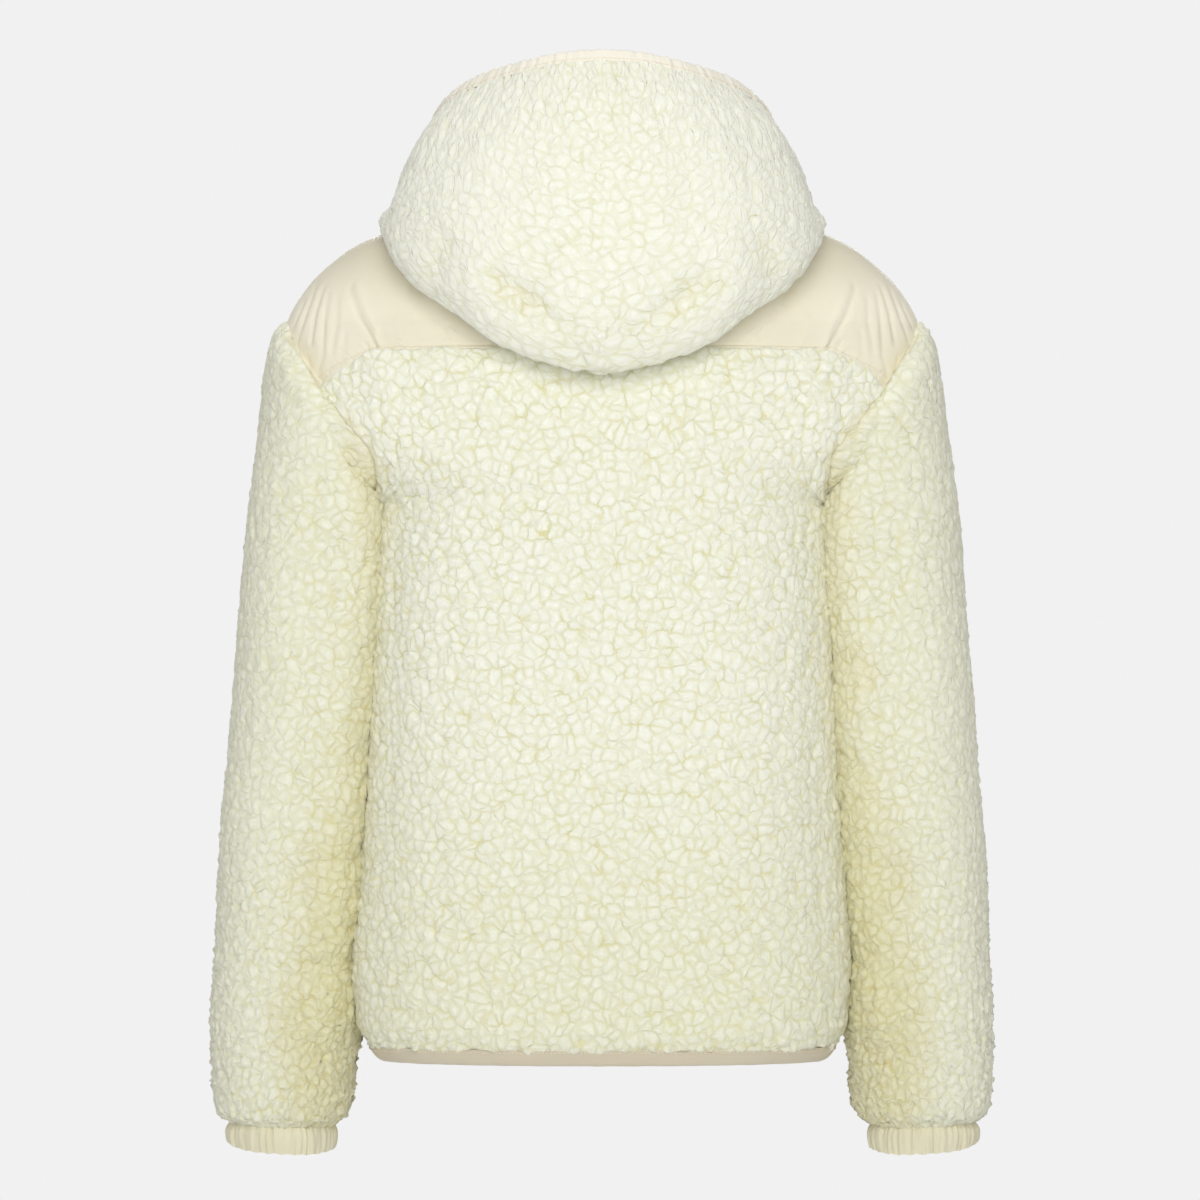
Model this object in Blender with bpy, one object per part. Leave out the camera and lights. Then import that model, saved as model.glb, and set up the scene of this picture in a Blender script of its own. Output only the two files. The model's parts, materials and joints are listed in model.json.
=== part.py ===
"""Sherpa zip jacket, filled out as worn, with its hood down at the back.

The front faces -Y, +X is the wearer's left and +Z is up. The origin is the middle of the neck at the
level where the jacket rests on the shoulders. Sizes are in millimetres and are made metres on the
way into a mesh. The cloth is built on one form, the backing's own surface: each panel is a wall that
stands on that form, as thick as its cloth.
"""

import math

import bpy
import numpy as np

MM = 0.001

# Cloth and seams
SHERPA = 8.0          # backing and pile
NYLON = 1.5
BINDING = 4.5         # a folded band with the cloth's edge in it
TAPE = 1.5
SEAM_GAP = 0.3
EDGE_PILE = 4.6       # the pile is pressed down where it meets a seam
ARMPIT_PILE = 1.6
ARMPIT_RISE = 70.0    # height over which the pile beside the armhole thins out towards the armpit
PILE_ROUND = 7.0      # width of the rounded shoulder beside a seam
PANEL_REACH = 240.0   # about the way across half a panel
SIDE_ROUND = 0.35     # how slowly the pile grows back below the armpit
SLEEVE_ROUND = 0.45   # the same along the underside of the sleeve
FOLD_FADE = 0.05      # share of a panel beside the armhole that stays free of folds
ZIP_HALF = 7.0        # the fronts stop this far from the middle
HOOD_CLEARANCE = 2.1  # the folded hood over what it lies on

# Levels on the form
SHOULDER_Z = -89.0    # top of the armhole
ARM_CORNER_Z = -139.5  # where the yoke seam meets the armhole
UNDERARM_Z = -215.0
YOKE_Z = -112.0
YOKE_KINK = 0.70      # share of the way out where the yoke seam turns down
HEM_Z = -616.0
HEM_DROP = 4.0        # lower at the side seams than in the middle
BAND_HEIGHT = 13.0
NECK_BACK_Z = -3.0


def table(columns, *rows):
    """Named columns of a short table."""
    return dict(zip(columns.split(), np.array(rows, float).T))


def curve(knots, values):
    """Smooth curve through the given values, straight past neither end."""
    knots = np.asarray(knots, float)
    values = np.asarray(values, float)
    if knots[0] > knots[-1]:
        knots, values = knots[::-1], values[::-1]
    step = np.diff(knots)
    secant = np.diff(values) / step
    rate = np.empty(len(knots))
    rate[0], rate[-1] = secant[0], secant[-1]
    rate[1:-1] = (secant[:-1] * step[1:] + secant[1:] * step[:-1]) / (step[1:] + step[:-1])

    def at(x):
        x = np.clip(x, knots[0], knots[-1])
        i = np.clip(np.searchsorted(knots, x, side="right") - 1, 0, len(step) - 1)
        t = (x - knots[i]) / step[i]
        return (values[i] * (1 + 2 * t) * (1 - t) ** 2 + rate[i] * step[i] * t * (1 - t) ** 2
                + values[i + 1] * t ** 2 * (3 - 2 * t) - rate[i + 1] * step[i] * t ** 2 * (1 - t))

    return at


# The body form at a level: half width, depth behind and before the middle, and how square it is
BODY = table(
    "z width back front square",
    (0, 75, 60, 50, 2.0),
    (-5, 100, 63, 54, 2.0),
    (-10, 122, 66, 58, 2.0),
    (-18, 149, 71, 63, 2.0),
    (-26, 170, 76, 68, 2.0),
    (-33, 184, 80, 72, 2.05),
    (-41, 195, 84, 77, 2.05),
    (-55, 211, 91, 84, 2.1),
    (-70, 223, 98, 92, 2.15),
    (-89, 232.5, 105, 99, 2.2),
    (-112, 234.4, 111, 106, 2.3),
    (-139.5, 232, 116, 112, 2.4),
    (-163, 226, 119, 115, 2.4),
    (-181, 200, 121, 117, 2.4),
    (-203, 167, 122, 118, 2.4),
    (-215, 156, 122.5, 118.5, 2.4),
    (-240, 156.2, 123, 119, 2.4),
    (-292, 157, 123, 119, 2.4),
    (-366, 160, 123, 119, 2.4),
    (-440, 163, 123, 119, 2.4),
    (-514, 166.5, 123, 119, 2.4),
    (-551, 170, 123, 119, 2.4),
    (-588, 173, 123, 119, 2.4),
    (-605, 173.5, 122, 118, 2.4),
    (-620, 169, 117.5, 113.5, 2.4),
    (-636, 157, 112, 108, 2.4),
)
ARMHOLE = table(
    "z width",
    (-89, 232.5),
    (-107, 223.5),
    (-122, 214.5),
    (-139.5, 203),
    (-163, 183),
    (-181, 166.5),
    (-203, 158),
    (-215, 156),
)
FRONT_NECK = table("share z", (0, -38), (0.15, -23), (0.3, -12), (0.5, -3.5), (0.75, -0.8), (1, 0))

# Levels, at the side end, of the rows of points
YOKE_ROWS = (-139.5, -122, -107, -97, -89, -76, -61, -46, -34, -24, -15, -7, -2.5, 0)
PANEL_ROWS = (-139.5, -148, -158, -170, -182, -194, -204, -211, -215, -228, -255, -300, -355, -410,
              -465, -515, -560, -588, -606, -620)
BACK_SHARES = (0, 0.1, 0.2, 0.3, 0.4, 0.5, 0.59, 0.66, 0.70, 0.74, 0.79, 0.84, 0.88, 0.92, 0.965, 1)
FRONT_SHARES = (0, 0.1, 0.26, 0.42, 0.57, 0.7, 0.82, 0.93, 1)

# Soft folds, mirrored to both sides: they run from one point to the other, seen from behind
YOKE_FOLDS = table(
    "x0 z0 x1 z1 depth width",
    (211, -62, 225, -98, -1.6, 3.5),
    (203, -66, 213, -110, -2.0, 3.5),
    (193, -72, 193, -133, -1.8, 3.8),
    (184, -66, 178, -124, 1.5, 4.0),
    (184, -64, 161, -110, -2.8, 5.0),
    (136, -69, 109, -104, -2.0, 6.5),
)
BACK_FOLDS = table(
    "x0 z0 x1 z1 depth width",
    (160, -112, 160, -190, 4.0, 9.0),
    (176, -126, 172, -200, -2.5, 9.0),
)

# The sleeve's sections: outer and inner point, half depth, middle in depth
SLEEVE = table(
    "outer_x outer_z inner_x inner_z depth middle square",
    (239.5, -104, 173, -220, 80, -2, 2.1),
    (243.5, -130, 173.8, -233, 80, -3, 2.15),
    (248, -165, 174, -254, 78, -4, 2.2),
    (255, -215, 174, -285, 76, -6, 2.25),
    (261, -280, 175, -325, 74, -8.5, 2.3),
    (267, -352, 178, -382, 71, -11, 2.3),
    (274, -430, 181, -446, 68, -13.5, 2.3),
    (279, -505, 185, -512, 65, -16, 2.3),
    (281, -560, 188.5, -564, 62, -18, 2.3),
    (282, -610, 190, -612, 59, -20, 2.3),
    (281.5, -642, 191, -642, 56, -21, 2.25),
    (281.5, -657, 191.5, -657, 53, -21, 2.2),
    (279, -669, 195, -669, 49, -21, 2.15),
    (272, -678.5, 201.5, -678.5, 43, -21, 2.1),
)
SLEEVE_START = 0.2    # from the armhole's edge to the sleeve's

CUFF = table(
    "z width depth",
    (-678.9, 35, 42.5),
    (-684, 38.5, 44.5),
    (-692, 39, 44.5),
    (-700.5, 35, 40.5),
)
CUFF_X = 238.5
CUFF_Y = -21.0
CUFF_TILT = 0.12      # the outer side sits higher
CUFF_WAVES = 25
CUFF_WAVE_DEPTH = 1.4

# The hood's outer face at an azimuth from the front: distance from the neck's axis, and height
HOOD_PARTS = ("neck", "under", "roll", "low", "belly", "upper", "rim")
HOOD = table(
    "azimuth " + " ".join(part + "_r " + part + "_z" for part in HOOD_PARTS),
    (0, 76.5, -37, 79, -29, 82, -20, 84.5, -9, 86.5, 3, 88, 17, 88, 36),
    (30, 77, -22, 82, -17, 87, -11, 92, -3, 96, 8, 98, 22, 98, 41),
    (55, 78, -3.5, 88, -4, 100, -6, 110, -1, 115, 10, 114, 28, 108, 49),
    (75, 78, 0, 108, -5, 137, -12, 150, -6, 148, 8, 138, 32, 119, 60),
    (90, 77, 0.5, 122, -6, 153, -17, 163, -14, 155, 4, 143, 32, 123.5, 68),
    (105, 74, 0, 126, -10, 165, -28, 172, -20, 161, 3, 148, 34, 121, 78),
    (120, 70, -1, 134, -35, 173, -51, 184, -36, 179, -8, 159, 31, 117, 88),
    (135, 67, -1.5, 126, -59, 174, -77, 189, -58, 189, -26, 166, 27, 115, 95),
    (150, 65, -2, 118, -80, 166, -105, 185, -83, 191, -44, 171, 20, 116, 101.5),
    (165, 64, -2, 114, -95, 157, -124, 178, -102, 189, -56, 174, 12, 116.5, 107),
    (180, 63.5, -2, 113, -99, 152, -131, 174, -108, 187, -60, 175, 9, 116.5, 109),
)
HOOD_STEPS = (0, 15, 30, 45, 59, 72, 83, 93, 102, 111, 120, 129, 138, 146, 153, 160, 167, 173, 177, 180)
HOOD_LENGTHS = (0, 0.03, 0.12, 0.22, 0.30, 0.36, 0.41, 0.45, 0.49, 0.53, 0.575, 0.625, 0.68, 0.75,
                0.83, 0.91, 0.97, 1)
BINDING_LENGTHS = (1.03, 1.5, 2.0)    # 1 to 2 runs down the band
PROFILE_POINTS = 240
REST_LEVEL = -0.6     # the hood is laid on the form up to here
REST_FADE = (4.0, 8.0)    # and less and less from this level down over this height
REST_ROUNDS = 6
RIM_HEIGHT = 10.0
RIM_PARTS = 2         # facets of the binding to one of the hood, one gather each
RIM_SINK = 1.2        # the band lies a little under the pile's tips
RIM_WAVE_DEPTH = 0.7
HOOD_FOLDS = table(
    "x0 z0 x1 z1 depth width",
    (86, -50, 46, -80, -5.0, 11.0),
    (46, -74, 24, -100, -2.5, 8.0),
    (0, -96, 0, -124, 2.5, 9.0),
    (14, -92, 20, -122, -2.5, 6.0),
    (112, -30, 128, -62, -3.0, 10.0),
)

# Zip
COLLAR_LENGTHS = (0.1, 0.3, 0.5, 0.75, 1.0, 2.0)
COLLAR_SINK = 4.0     # the zip lies this far inside the hood's pile
ZIP_LEVELS = (-629, -620, -606, -580, -500, -400, -300, -215, -163, -125, -95, -70, -52, -43)
SLIDER_Z = 21.0       # middle of the slider, near the top of the zip
SLIDER = (8.6, 3.2, 12.0)
EAR = (1.6, 4.4, 5.0)
EAR_SPREAD = 2.7
EAR_ROOT = 0.8        # depth to which the ears stand in the slider
PIN_HEIGHT = 0.66     # share of the ears' depth
PIN_RADIUS = 1.0
PIN_ROOT = 0.4
EYE_RADIUS = 1.35
EYE_WALL = 1.1
TAB = (6.4, 1.8, 26.0)
TAB_HEAD = 3.2
PLATE_LAP = 1.4       # the neck runs this far into the plate
TAB_PLAY = 0.4        # between the tab's eye and each ear

CREAM = (0.86, 0.85, 0.74)
BEIGE = (0.78, 0.71, 0.56)
STEEL = (0.62, 0.60, 0.56)

body_width = curve(BODY["z"], BODY["width"])
body_back = curve(BODY["z"], BODY["back"])
body_front = curve(BODY["z"], BODY["front"])
body_square = curve(BODY["z"], BODY["square"])
armhole_width = curve(ARMHOLE["z"], ARMHOLE["width"])
front_neck = curve(FRONT_NECK["share"], FRONT_NECK["z"])


def unit(v):
    return v / np.maximum(np.linalg.norm(v, axis=-1, keepdims=True), 1e-9)


def smooth_step(x):
    x = np.clip(x, 0, 1)
    return x * x * (3 - 2 * x)


# --- The body form ---

def gauge(p):
    """1 on the body form, less inside it."""
    x, y, z = p[..., 0], p[..., 1], p[..., 2]
    depth = np.where(y > 0, body_back(z), body_front(z))
    n = body_square(z)
    return ((np.abs(x) / body_width(z)) ** n + (np.abs(y) / depth) ** n) ** (1 / n)


def gauge_slope(p, step=0.05):
    moves = np.eye(3) * step
    return np.stack([(gauge(p + m) - gauge(p - m)) / (2 * step) for m in moves], -1)


def form_normal(p):
    return unit(gauge_slope(p))


def side_turn(z):
    """Angle round the form from the middle to the armhole, shoulder or side seam."""
    open_arm = (z < SHOULDER_Z) & (z > UNDERARM_Z)
    reach = np.clip(armhole_width(z) / body_width(z), 0, 1) ** (body_square(z) / 2)
    return math.pi / 2 - np.where(open_arm, np.arccos(reach), 0)


def centre_start(z):
    """Share of the way out at which a front starts beside the zip."""
    return np.arcsin((ZIP_HALF / body_width(z)) ** (body_square(z) / 2)) / side_turn(z)


def form_point(z, share, face):
    """Point of the form at level z: share 0 in the middle, 1 at the armhole, shoulder or side seam."""
    width, n = body_width(z), body_square(z)
    depth = body_back(z) if face > 0 else body_front(z)
    angle = math.pi / 2 - np.abs(share) * side_turn(z)
    x = np.sign(share) * width * np.cos(angle) ** (2 / n)
    y = face * depth * np.abs(np.sin(angle)) ** (2 / n)
    return np.stack([x, y, np.broadcast_to(z, x.shape)], -1)


def yoke_seam(share):
    """Level of the seam under the yoke: straight across, then down to the armhole."""
    out = np.clip((np.abs(share) - YOKE_KINK) / (1 - YOKE_KINK), 0, 1)
    return YOKE_Z + (ARM_CORNER_Z - YOKE_Z) * out


def neck_seam(share, face):
    share = np.abs(share)
    return front_neck(share) if face < 0 else NECK_BACK_Z * (1 - share ** 2)


def fold_lift(p, folds, face):
    """How far the folds raise the cloth at each point."""
    lift = np.zeros(p.shape[:-1])
    for x0, z0, x1, z1, depth, width in zip(*(folds[k] for k in "x0 z0 x1 z1 depth width".split())):
        x, z = np.abs(p[..., 0]) - x0, p[..., 2] - z0
        dx, dz = x1 - x0, z1 - z0
        length = math.hypot(dx, dz)
        along = (x * dx + z * dz) / length ** 2
        across = (x * dz - z * dx) / length
        ends = smooth_step((along + 0.15) / 0.3) * smooth_step((1.15 - along) / 0.3)
        lift += depth * ends * np.exp(-(across / width) ** 2) * (p[..., 1] * face > 0)
    return lift


def pile(*distances, full=SHERPA, edge=EDGE_PILE):
    """Height of the pile, rounded down towards each seam that is so many millimetres away."""
    high = np.full(np.broadcast(*distances).shape, 1.0)
    for d in distances:
        high = np.minimum(high, np.sqrt(1 - (1 - np.clip(d / PILE_ROUND, 0, 1)) ** 2))
    return edge + (full - edge) * high


def armhole_pile(z):
    """Height of the pile at the armhole seam, least in the armpit."""
    return ARMPIT_PILE + (EDGE_PILE - ARMPIT_PILE) * smooth_step((z - UNDERARM_Z) / ARMPIT_RISE)


def pull_back_edge(p, axis, index, inner, amount):
    """Move one edge of a grid of points a little towards the row beside it."""
    edge = [slice(None)] * 3
    beside = [slice(None)] * 3
    edge[axis], beside[axis] = index, inner
    p[tuple(edge)] += unit(p[tuple(beside)] - p[tuple(edge)]) * amount


# --- Walls ---

def material(name, colour, roughness, metallic=0.0):
    mat = bpy.data.materials.new(name)
    mat.use_nodes = True
    shader = mat.node_tree.nodes["Principled BSDF"]
    shader.inputs["Base Color"].default_value = (*colour, 1)
    shader.inputs["Roughness"].default_value = roughness
    shader.inputs["Metallic"].default_value = metallic
    return mat


def solid(name, points, faces, look, smooth=True):
    """One named closed body; its faces are turned outwards."""
    points = np.asarray(points, float)
    volume = 0.0
    for face in faces:
        a = points[face[0]]
        for i in range(1, len(face) - 1):
            volume += np.dot(a, np.cross(points[face[i]], points[face[i + 1]]))
    if volume < 0:
        faces = [face[::-1] for face in faces]
    mesh = bpy.data.meshes.new(name)
    mesh.from_pydata((points * MM).tolist(), [], faces)
    mesh.materials.append(material(name, *look))
    if smooth:
        mesh.shade_smooth()
        mesh.set_sharp_from_angle(angle=math.radians(50))
    body = bpy.data.objects.new(name, mesh)
    bpy.context.collection.objects.link(body)
    return body


def halves(points, face):
    """The two triangles of a four-sided face, cut along its shorter diagonal."""
    a, b, c, d = (int(i) for i in face)
    if np.linalg.norm(points[a] - points[c]) <= np.linalg.norm(points[b] - points[d]) + 1e-6:
        return (a, b, c), (a, c, d)
    return (a, b, d), (b, c, d)


def wall(name, outer, inner, look, tube=False):
    """Closed wall between two grids of points. A tube's columns run all the way round."""
    rows, columns = outer.shape[:2]
    index = np.arange(rows * columns).reshape(rows, columns)
    if tube:
        index = np.concatenate([index, index[:, :1]], 1)
    back = index + rows * columns
    faces = []
    for r in range(index.shape[0] - 1):
        for c in range(index.shape[1] - 1):
            a, b, d, e = index[r, c], index[r, c + 1], index[r + 1, c + 1], index[r + 1, c]
            faces.append((a, b, d, e))
            faces.append((back[r, c], back[r + 1, c], back[r + 1, c + 1], back[r, c + 1]))
    for r, turn in ((0, 1), (-1, -1)):
        for c in range(index.shape[1] - 1):
            faces.append((index[r, c], back[r, c], back[r, c + 1], index[r, c + 1])[::turn])
    if not tube:
        for c, turn in ((0, -1), (-1, 1)):
            for r in range(index.shape[0] - 1):
                faces.append((index[r, c], back[r, c], back[r + 1, c], index[r + 1, c])[::turn])
    points = np.concatenate([outer.reshape(-1, 3), inner.reshape(-1, 3)])
    return solid(name, points, [half for face in faces for half in halves(points, face)], look)


def grid_normals(p, tube=False):
    """Normals of a grid from its own rows and columns."""
    if tube:
        across = np.roll(p, -1, 1) - np.roll(p, 1, 1)
    else:
        across = np.gradient(p, axis=1)
    down = np.gradient(p, axis=0)
    return unit(np.cross(across, down))


# --- Body panels ---

def panel_shares(face):
    """Columns of a panel: the back is one piece across, a front is one side only."""
    if face > 0:
        return np.array([-s for s in BACK_SHARES[:0:-1]] + list(BACK_SHARES))
    return np.array(FRONT_SHARES)


def panel_points(z, shares, face):
    """Grid of points of the form for a panel, pulled back at its side seams."""
    start = centre_start(z) if face < 0 else 0
    p = form_point(z, start + (1 - start) * shares[None, :], face)
    normals = form_normal(p)
    pull_back_edge(p, 1, -1, -2, SEAM_GAP / 2)
    if face > 0:
        pull_back_edge(p, 1, 0, 1, SEAM_GAP / 2)
    return p, normals


def body_panel(name, face, side, rows, top, bottom, cloth, folds):
    """A wall on the form between two seams."""
    shares = panel_shares(face)
    levels = np.array(rows, float)
    down = (levels - levels[0]) / (levels[-1] - levels[0])
    z = top(shares)[None, :] + (bottom(shares) - top(shares))[None, :] * down[:, None]
    p, normals = panel_points(z, shares, face)
    inside = smooth_step((1 - np.abs(shares)) / FOLD_FADE)[None, :]
    p = p + normals * (fold_lift(p, folds, face) * inside)[..., None]
    pull_back_edge(p, 0, 0, 1, SEAM_GAP / 2)
    pull_back_edge(p, 0, -1, -2, SEAM_GAP / 2)
    if cloth == "sherpa":
        to_arm = (1 - np.abs(shares))[None, :] * PANEL_REACH + np.maximum(UNDERARM_Z - z, 0) * SIDE_ROUND
        thick = pile(np.abs(z - z[:1]), np.abs(z - z[-1:]), to_arm, edge=armhole_pile(z))
        look = (CREAM, 0.95)
    else:
        thick = np.full(z.shape, NYLON)
        look = (BEIGE, 0.5)
    outer = p + normals * thick[..., None]
    wall(name, outer * (side, 1, 1), p * (side, 1, 1), look)


def hem_seam(share):
    return HEM_Z - HEM_DROP * np.abs(share) ** 3


def make_body():
    body_panel("yoke_back", 1, 1, YOKE_ROWS, yoke_seam, lambda s: neck_seam(s, 1), "nylon", YOKE_FOLDS)
    body_panel("back_panel", 1, 1, PANEL_ROWS, yoke_seam, hem_seam, "sherpa", BACK_FOLDS)
    for word, side in (("left", 1), ("right", -1)):
        body_panel("yoke_front_" + word, -1, side, YOKE_ROWS, yoke_seam, lambda s: neck_seam(s, -1),
                   "nylon", YOKE_FOLDS)
        body_panel("front_" + word, -1, side, PANEL_ROWS, yoke_seam, hem_seam, "sherpa", BACK_FOLDS)


def make_hem():
    """Folded band under the sherpa's lower edge."""
    drops = np.array([SEAM_GAP, BAND_HEIGHT * 0.5, BAND_HEIGHT])
    for name, face, side in (("hem_back", 1, 1), ("hem_front_left", -1, 1), ("hem_front_right", -1, -1)):
        shares = panel_shares(face)
        p, normals = panel_points(hem_seam(shares)[None, :] - drops[:, None], shares, face)
        outer = p + normals * BINDING
        wall(name, outer * (side, 1, 1), p * (side, 1, 1), (BEIGE, 0.5))


# --- Sleeves and cuffs ---

def armhole_loop():
    """The armhole's edge, once round from the shoulder: down the back, up the front."""
    levels = np.array([z for z in YOKE_ROWS[::-1] if z <= SHOULDER_Z] + list(PANEL_ROWS[1:]), float)
    levels = levels[levels >= UNDERARM_Z]
    back = form_point(levels, np.ones(len(levels)), 1)
    front = form_point(levels, np.ones(len(levels)), -1)
    loop = np.concatenate([back, front[-2:0:-1]])
    fall = (SHOULDER_Z - levels) / (SHOULDER_Z - UNDERARM_Z)
    turn = np.arccos(1 - 2 * fall)
    turns = np.concatenate([turn, 2 * math.pi - turn[-2:0:-1]])
    return loop, turns


def sleeve_sections(turns):
    """Rings of points down the sleeve."""
    cos, sin = np.cos(turns), np.sin(turns)
    rings = []
    for row in zip(*SLEEVE.values()):
        outer_x, outer_z, inner_x, inner_z, depth, middle, square = row
        along = np.sign(cos) * np.abs(cos) ** (2 / square)
        across = np.sign(sin) * np.abs(sin) ** (2 / square)
        x = (outer_x + inner_x) / 2 + (outer_x - inner_x) / 2 * along
        z = (outer_z + inner_z) / 2 + (outer_z - inner_z) / 2 * along
        rings.append(np.stack([x, middle + depth * across, z], -1))
    return np.array(rings)


def make_sleeves():
    loop, turns = armhole_loop()
    rings = sleeve_sections(turns)
    p = np.concatenate([loop[None], rings])
    pull_back_edge(p, 0, 0, 1, SLEEVE_START)
    normals = grid_normals(p, tube=True)
    middle = len(p) // 2
    if np.mean(np.sum(normals[middle] * (p[middle] - p[middle].mean(0)), -1)) < 0:
        normals = -normals
    run = np.concatenate([np.zeros((1, len(turns))),
                          np.cumsum(np.linalg.norm(np.diff(p, axis=0), axis=-1), 0)])
    normals[0] = form_normal(loop)
    normals[-1] = unit(normals[-1] * (1, 1, 0))
    under = smooth_step(-np.cos(turns))
    to_arm = run * (1 + (SLEEVE_ROUND - 1) * under)
    thick = np.minimum(pile(to_arm, edge=armhole_pile(loop[:, 2])[None]), pile(run[-1:] - run))
    outer = p + normals * thick[..., None]
    for word, side in (("left", 1), ("right", -1)):
        wall("sleeve_" + word, outer * (side, 1, 1), p * (side, 1, 1), (CREAM, 0.95), tube=True)


def make_cuffs():
    """Gathered bands that come out of the sleeves' ends."""
    count = CUFF_WAVES * 2
    turns = np.arange(count) * 2 * math.pi / count
    wave = np.cos(turns * CUFF_WAVES)
    rings = []
    for z, width, depth in zip(*CUFF.values()):
        x = (width + CUFF_WAVE_DEPTH * wave) * np.cos(turns)
        y = (depth + CUFF_WAVE_DEPTH * wave) * np.sin(turns)
        share = (z - CUFF["z"][0]) / (CUFF["z"][-1] - CUFF["z"][0])
        rings.append(np.stack([CUFF_X + x, CUFF_Y + y, z + CUFF_TILT * x * share], -1))
    p = np.array(rings)
    normals = unit((p - [CUFF_X, CUFF_Y, 0]) * (1, 1, 0))
    outer = p + normals * NYLON
    for word, side in (("left", 1), ("right", -1)):
        wall("cuff_" + word, outer * (side, 1, 1), p * (side, 1, 1), (BEIGE, 0.5), tube=True)


# --- Hood ---

def rest_on_body(p):
    """Lay points that would sink into the body on it, clear by a little."""
    p = p.copy()
    into_pile = smooth_step((YOKE_Z + 9 - np.minimum(p[..., 2], REST_LEVEL)) / PILE_ROUND)
    stand = NYLON + (SHERPA - NYLON) * into_pile + HOOD_CLEARANCE
    for _ in range(REST_ROUNDS):
        q = p.copy()
        q[..., 2] = np.minimum(p[..., 2], REST_LEVEL)
        slope = gauge_slope(q)
        size = np.linalg.norm(slope, axis=-1)
        away = (gauge(q) - 1) / size
        short = np.clip(stand - away, 0, None) * smooth_step((REST_FADE[0] - p[..., 2]) / REST_FADE[1])
        p += (slope / size[..., None]) * short[..., None]
    return p


def hood_profile(azimuth, lengths):
    """Points of the hood's outer face up one azimuth, at shares of the way from neck to rim."""
    r = np.array([curve(HOOD["azimuth"], HOOD[part + "_r"])(azimuth) for part in HOOD_PARTS])
    z = np.array([curve(HOOD["azimuth"], HOOD[part + "_z"])(azimuth) for part in HOOD_PARTS])
    run = np.concatenate([[0], np.cumsum(np.hypot(np.diff(r), np.diff(z)))])
    fine = np.linspace(0, run[-1], PROFILE_POINTS)
    fine_r, fine_z = curve(run, r)(fine), curve(run, z)(fine)
    fine_run = np.concatenate([[0], np.cumsum(np.hypot(np.diff(fine_r), np.diff(fine_z)))])
    total = fine_run[-1]
    cloth = lengths * (total - RIM_HEIGHT - SEAM_GAP)
    at = np.where(lengths <= 1, cloth, total - RIM_HEIGHT * (2 - lengths))
    turn = math.radians(azimuth)
    r_at, z_at = np.interp(at, fine_run, fine_r), np.interp(at, fine_run, fine_z)
    return np.stack([r_at * math.sin(turn), -r_at * math.cos(turn), z_at], -1)


def hood_grid(azimuths, lengths):
    p = np.array([hood_profile(a, np.asarray(lengths, float)) for a in azimuths])
    p = rest_on_body(p)
    first = p[0]
    first[:, 1] = -np.hypot(first[:, 0], first[:, 1])
    first[:, 0] = ZIP_HALF
    return p


def make_hood():
    p = hood_grid(HOOD_STEPS, HOOD_LENGTHS)
    normals = hood_normals(p)
    p = p + normals * fold_lift(p, HOOD_FOLDS, 1)[..., None]
    p[-1, :, 0] = SEAM_GAP / 2
    run = np.concatenate([np.zeros((len(p), 1)),
                          np.cumsum(np.linalg.norm(np.diff(p, axis=1), axis=-1), 1)], 1)
    thick = pile(run, run[:, -1:] - run)
    inner = p - normals * thick[..., None]
    inner[-1, :, 0] = SEAM_GAP / 2
    inner[0, :, 0] = ZIP_HALF
    for word, side in (("left", 1), ("right", -1)):
        wall("hood_" + word, p * (side, 1, 1), inner * (side, 1, 1), (CREAM, 0.95))


def hood_normals(p):
    """Outward normals of a grid of hood points, level across the middle and the zip."""
    normals = -grid_normals(p)
    if np.mean(np.sum(normals * unit(p * (1, 1, 0)), -1)[:, -2:]) < 0:
        normals = -normals
    normals[0] = unit(normals[0] * (0, 1, 1))
    normals[-1] = unit(normals[-1] * (0, 1, 1))
    return normals


def between_rows(grid, parts):
    """The same facets with each cut into parts, so that one edge lies on another's."""
    rows = np.arange(len(grid))
    at = np.linspace(0, len(grid) - 1, (len(grid) - 1) * parts + 1)
    columns = [np.interp(at, rows, column) for column in grid.reshape(len(grid), -1).T]
    return np.stack(columns, -1).reshape(len(at), *grid.shape[1:])


def make_binding():
    """Gathered band folded over the hood's opening."""
    p = hood_grid(HOOD_STEPS, BINDING_LENGTHS)
    normals = between_rows(hood_normals(p), RIM_PARTS)
    p = between_rows(p, RIM_PARTS)
    wave = RIM_WAVE_DEPTH * np.cos(np.arange(len(p)) * 2 * math.pi / RIM_PARTS)
    wave[0] = wave[-1] = 0
    outer = p - normals * (RIM_SINK - wave[:, None, None])
    inner = outer - normals * BINDING
    for grid in (outer, inner):
        grid[-1, :, 0] = SEAM_GAP / 2
        grid[0, :, 0] = ZIP_HALF
    for word, side in (("left", 1), ("right", -1)):
        wall("hood_binding_" + word, outer * (side, 1, 1), inner * (side, 1, 1), (BEIGE, 0.5))


# --- Zip ---

def zip_path():
    """Depth and level of the zip from the hem to the rim."""
    levels = np.array(ZIP_LEVELS, float)
    body = np.stack([-body_front(levels), levels], -1)
    collar = hood_profile(0.0, np.array(COLLAR_LENGTHS))[:, 1:]
    collar[:, 0] += COLLAR_SINK * smooth_step((collar[:, 1] - FRONT_NECK["z"][0]) / 20)
    return np.concatenate([body, collar])


def zip_depth(z):
    path = zip_path()
    return np.interp(z, path[:, 1], path[:, 0])


def strip(line, x):
    """Grid of points two across that follows a line in the middle plane."""
    return np.stack([np.stack([np.full(len(line), at), line[:, 0], line[:, 1]], -1) for at in x], 1)


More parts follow.
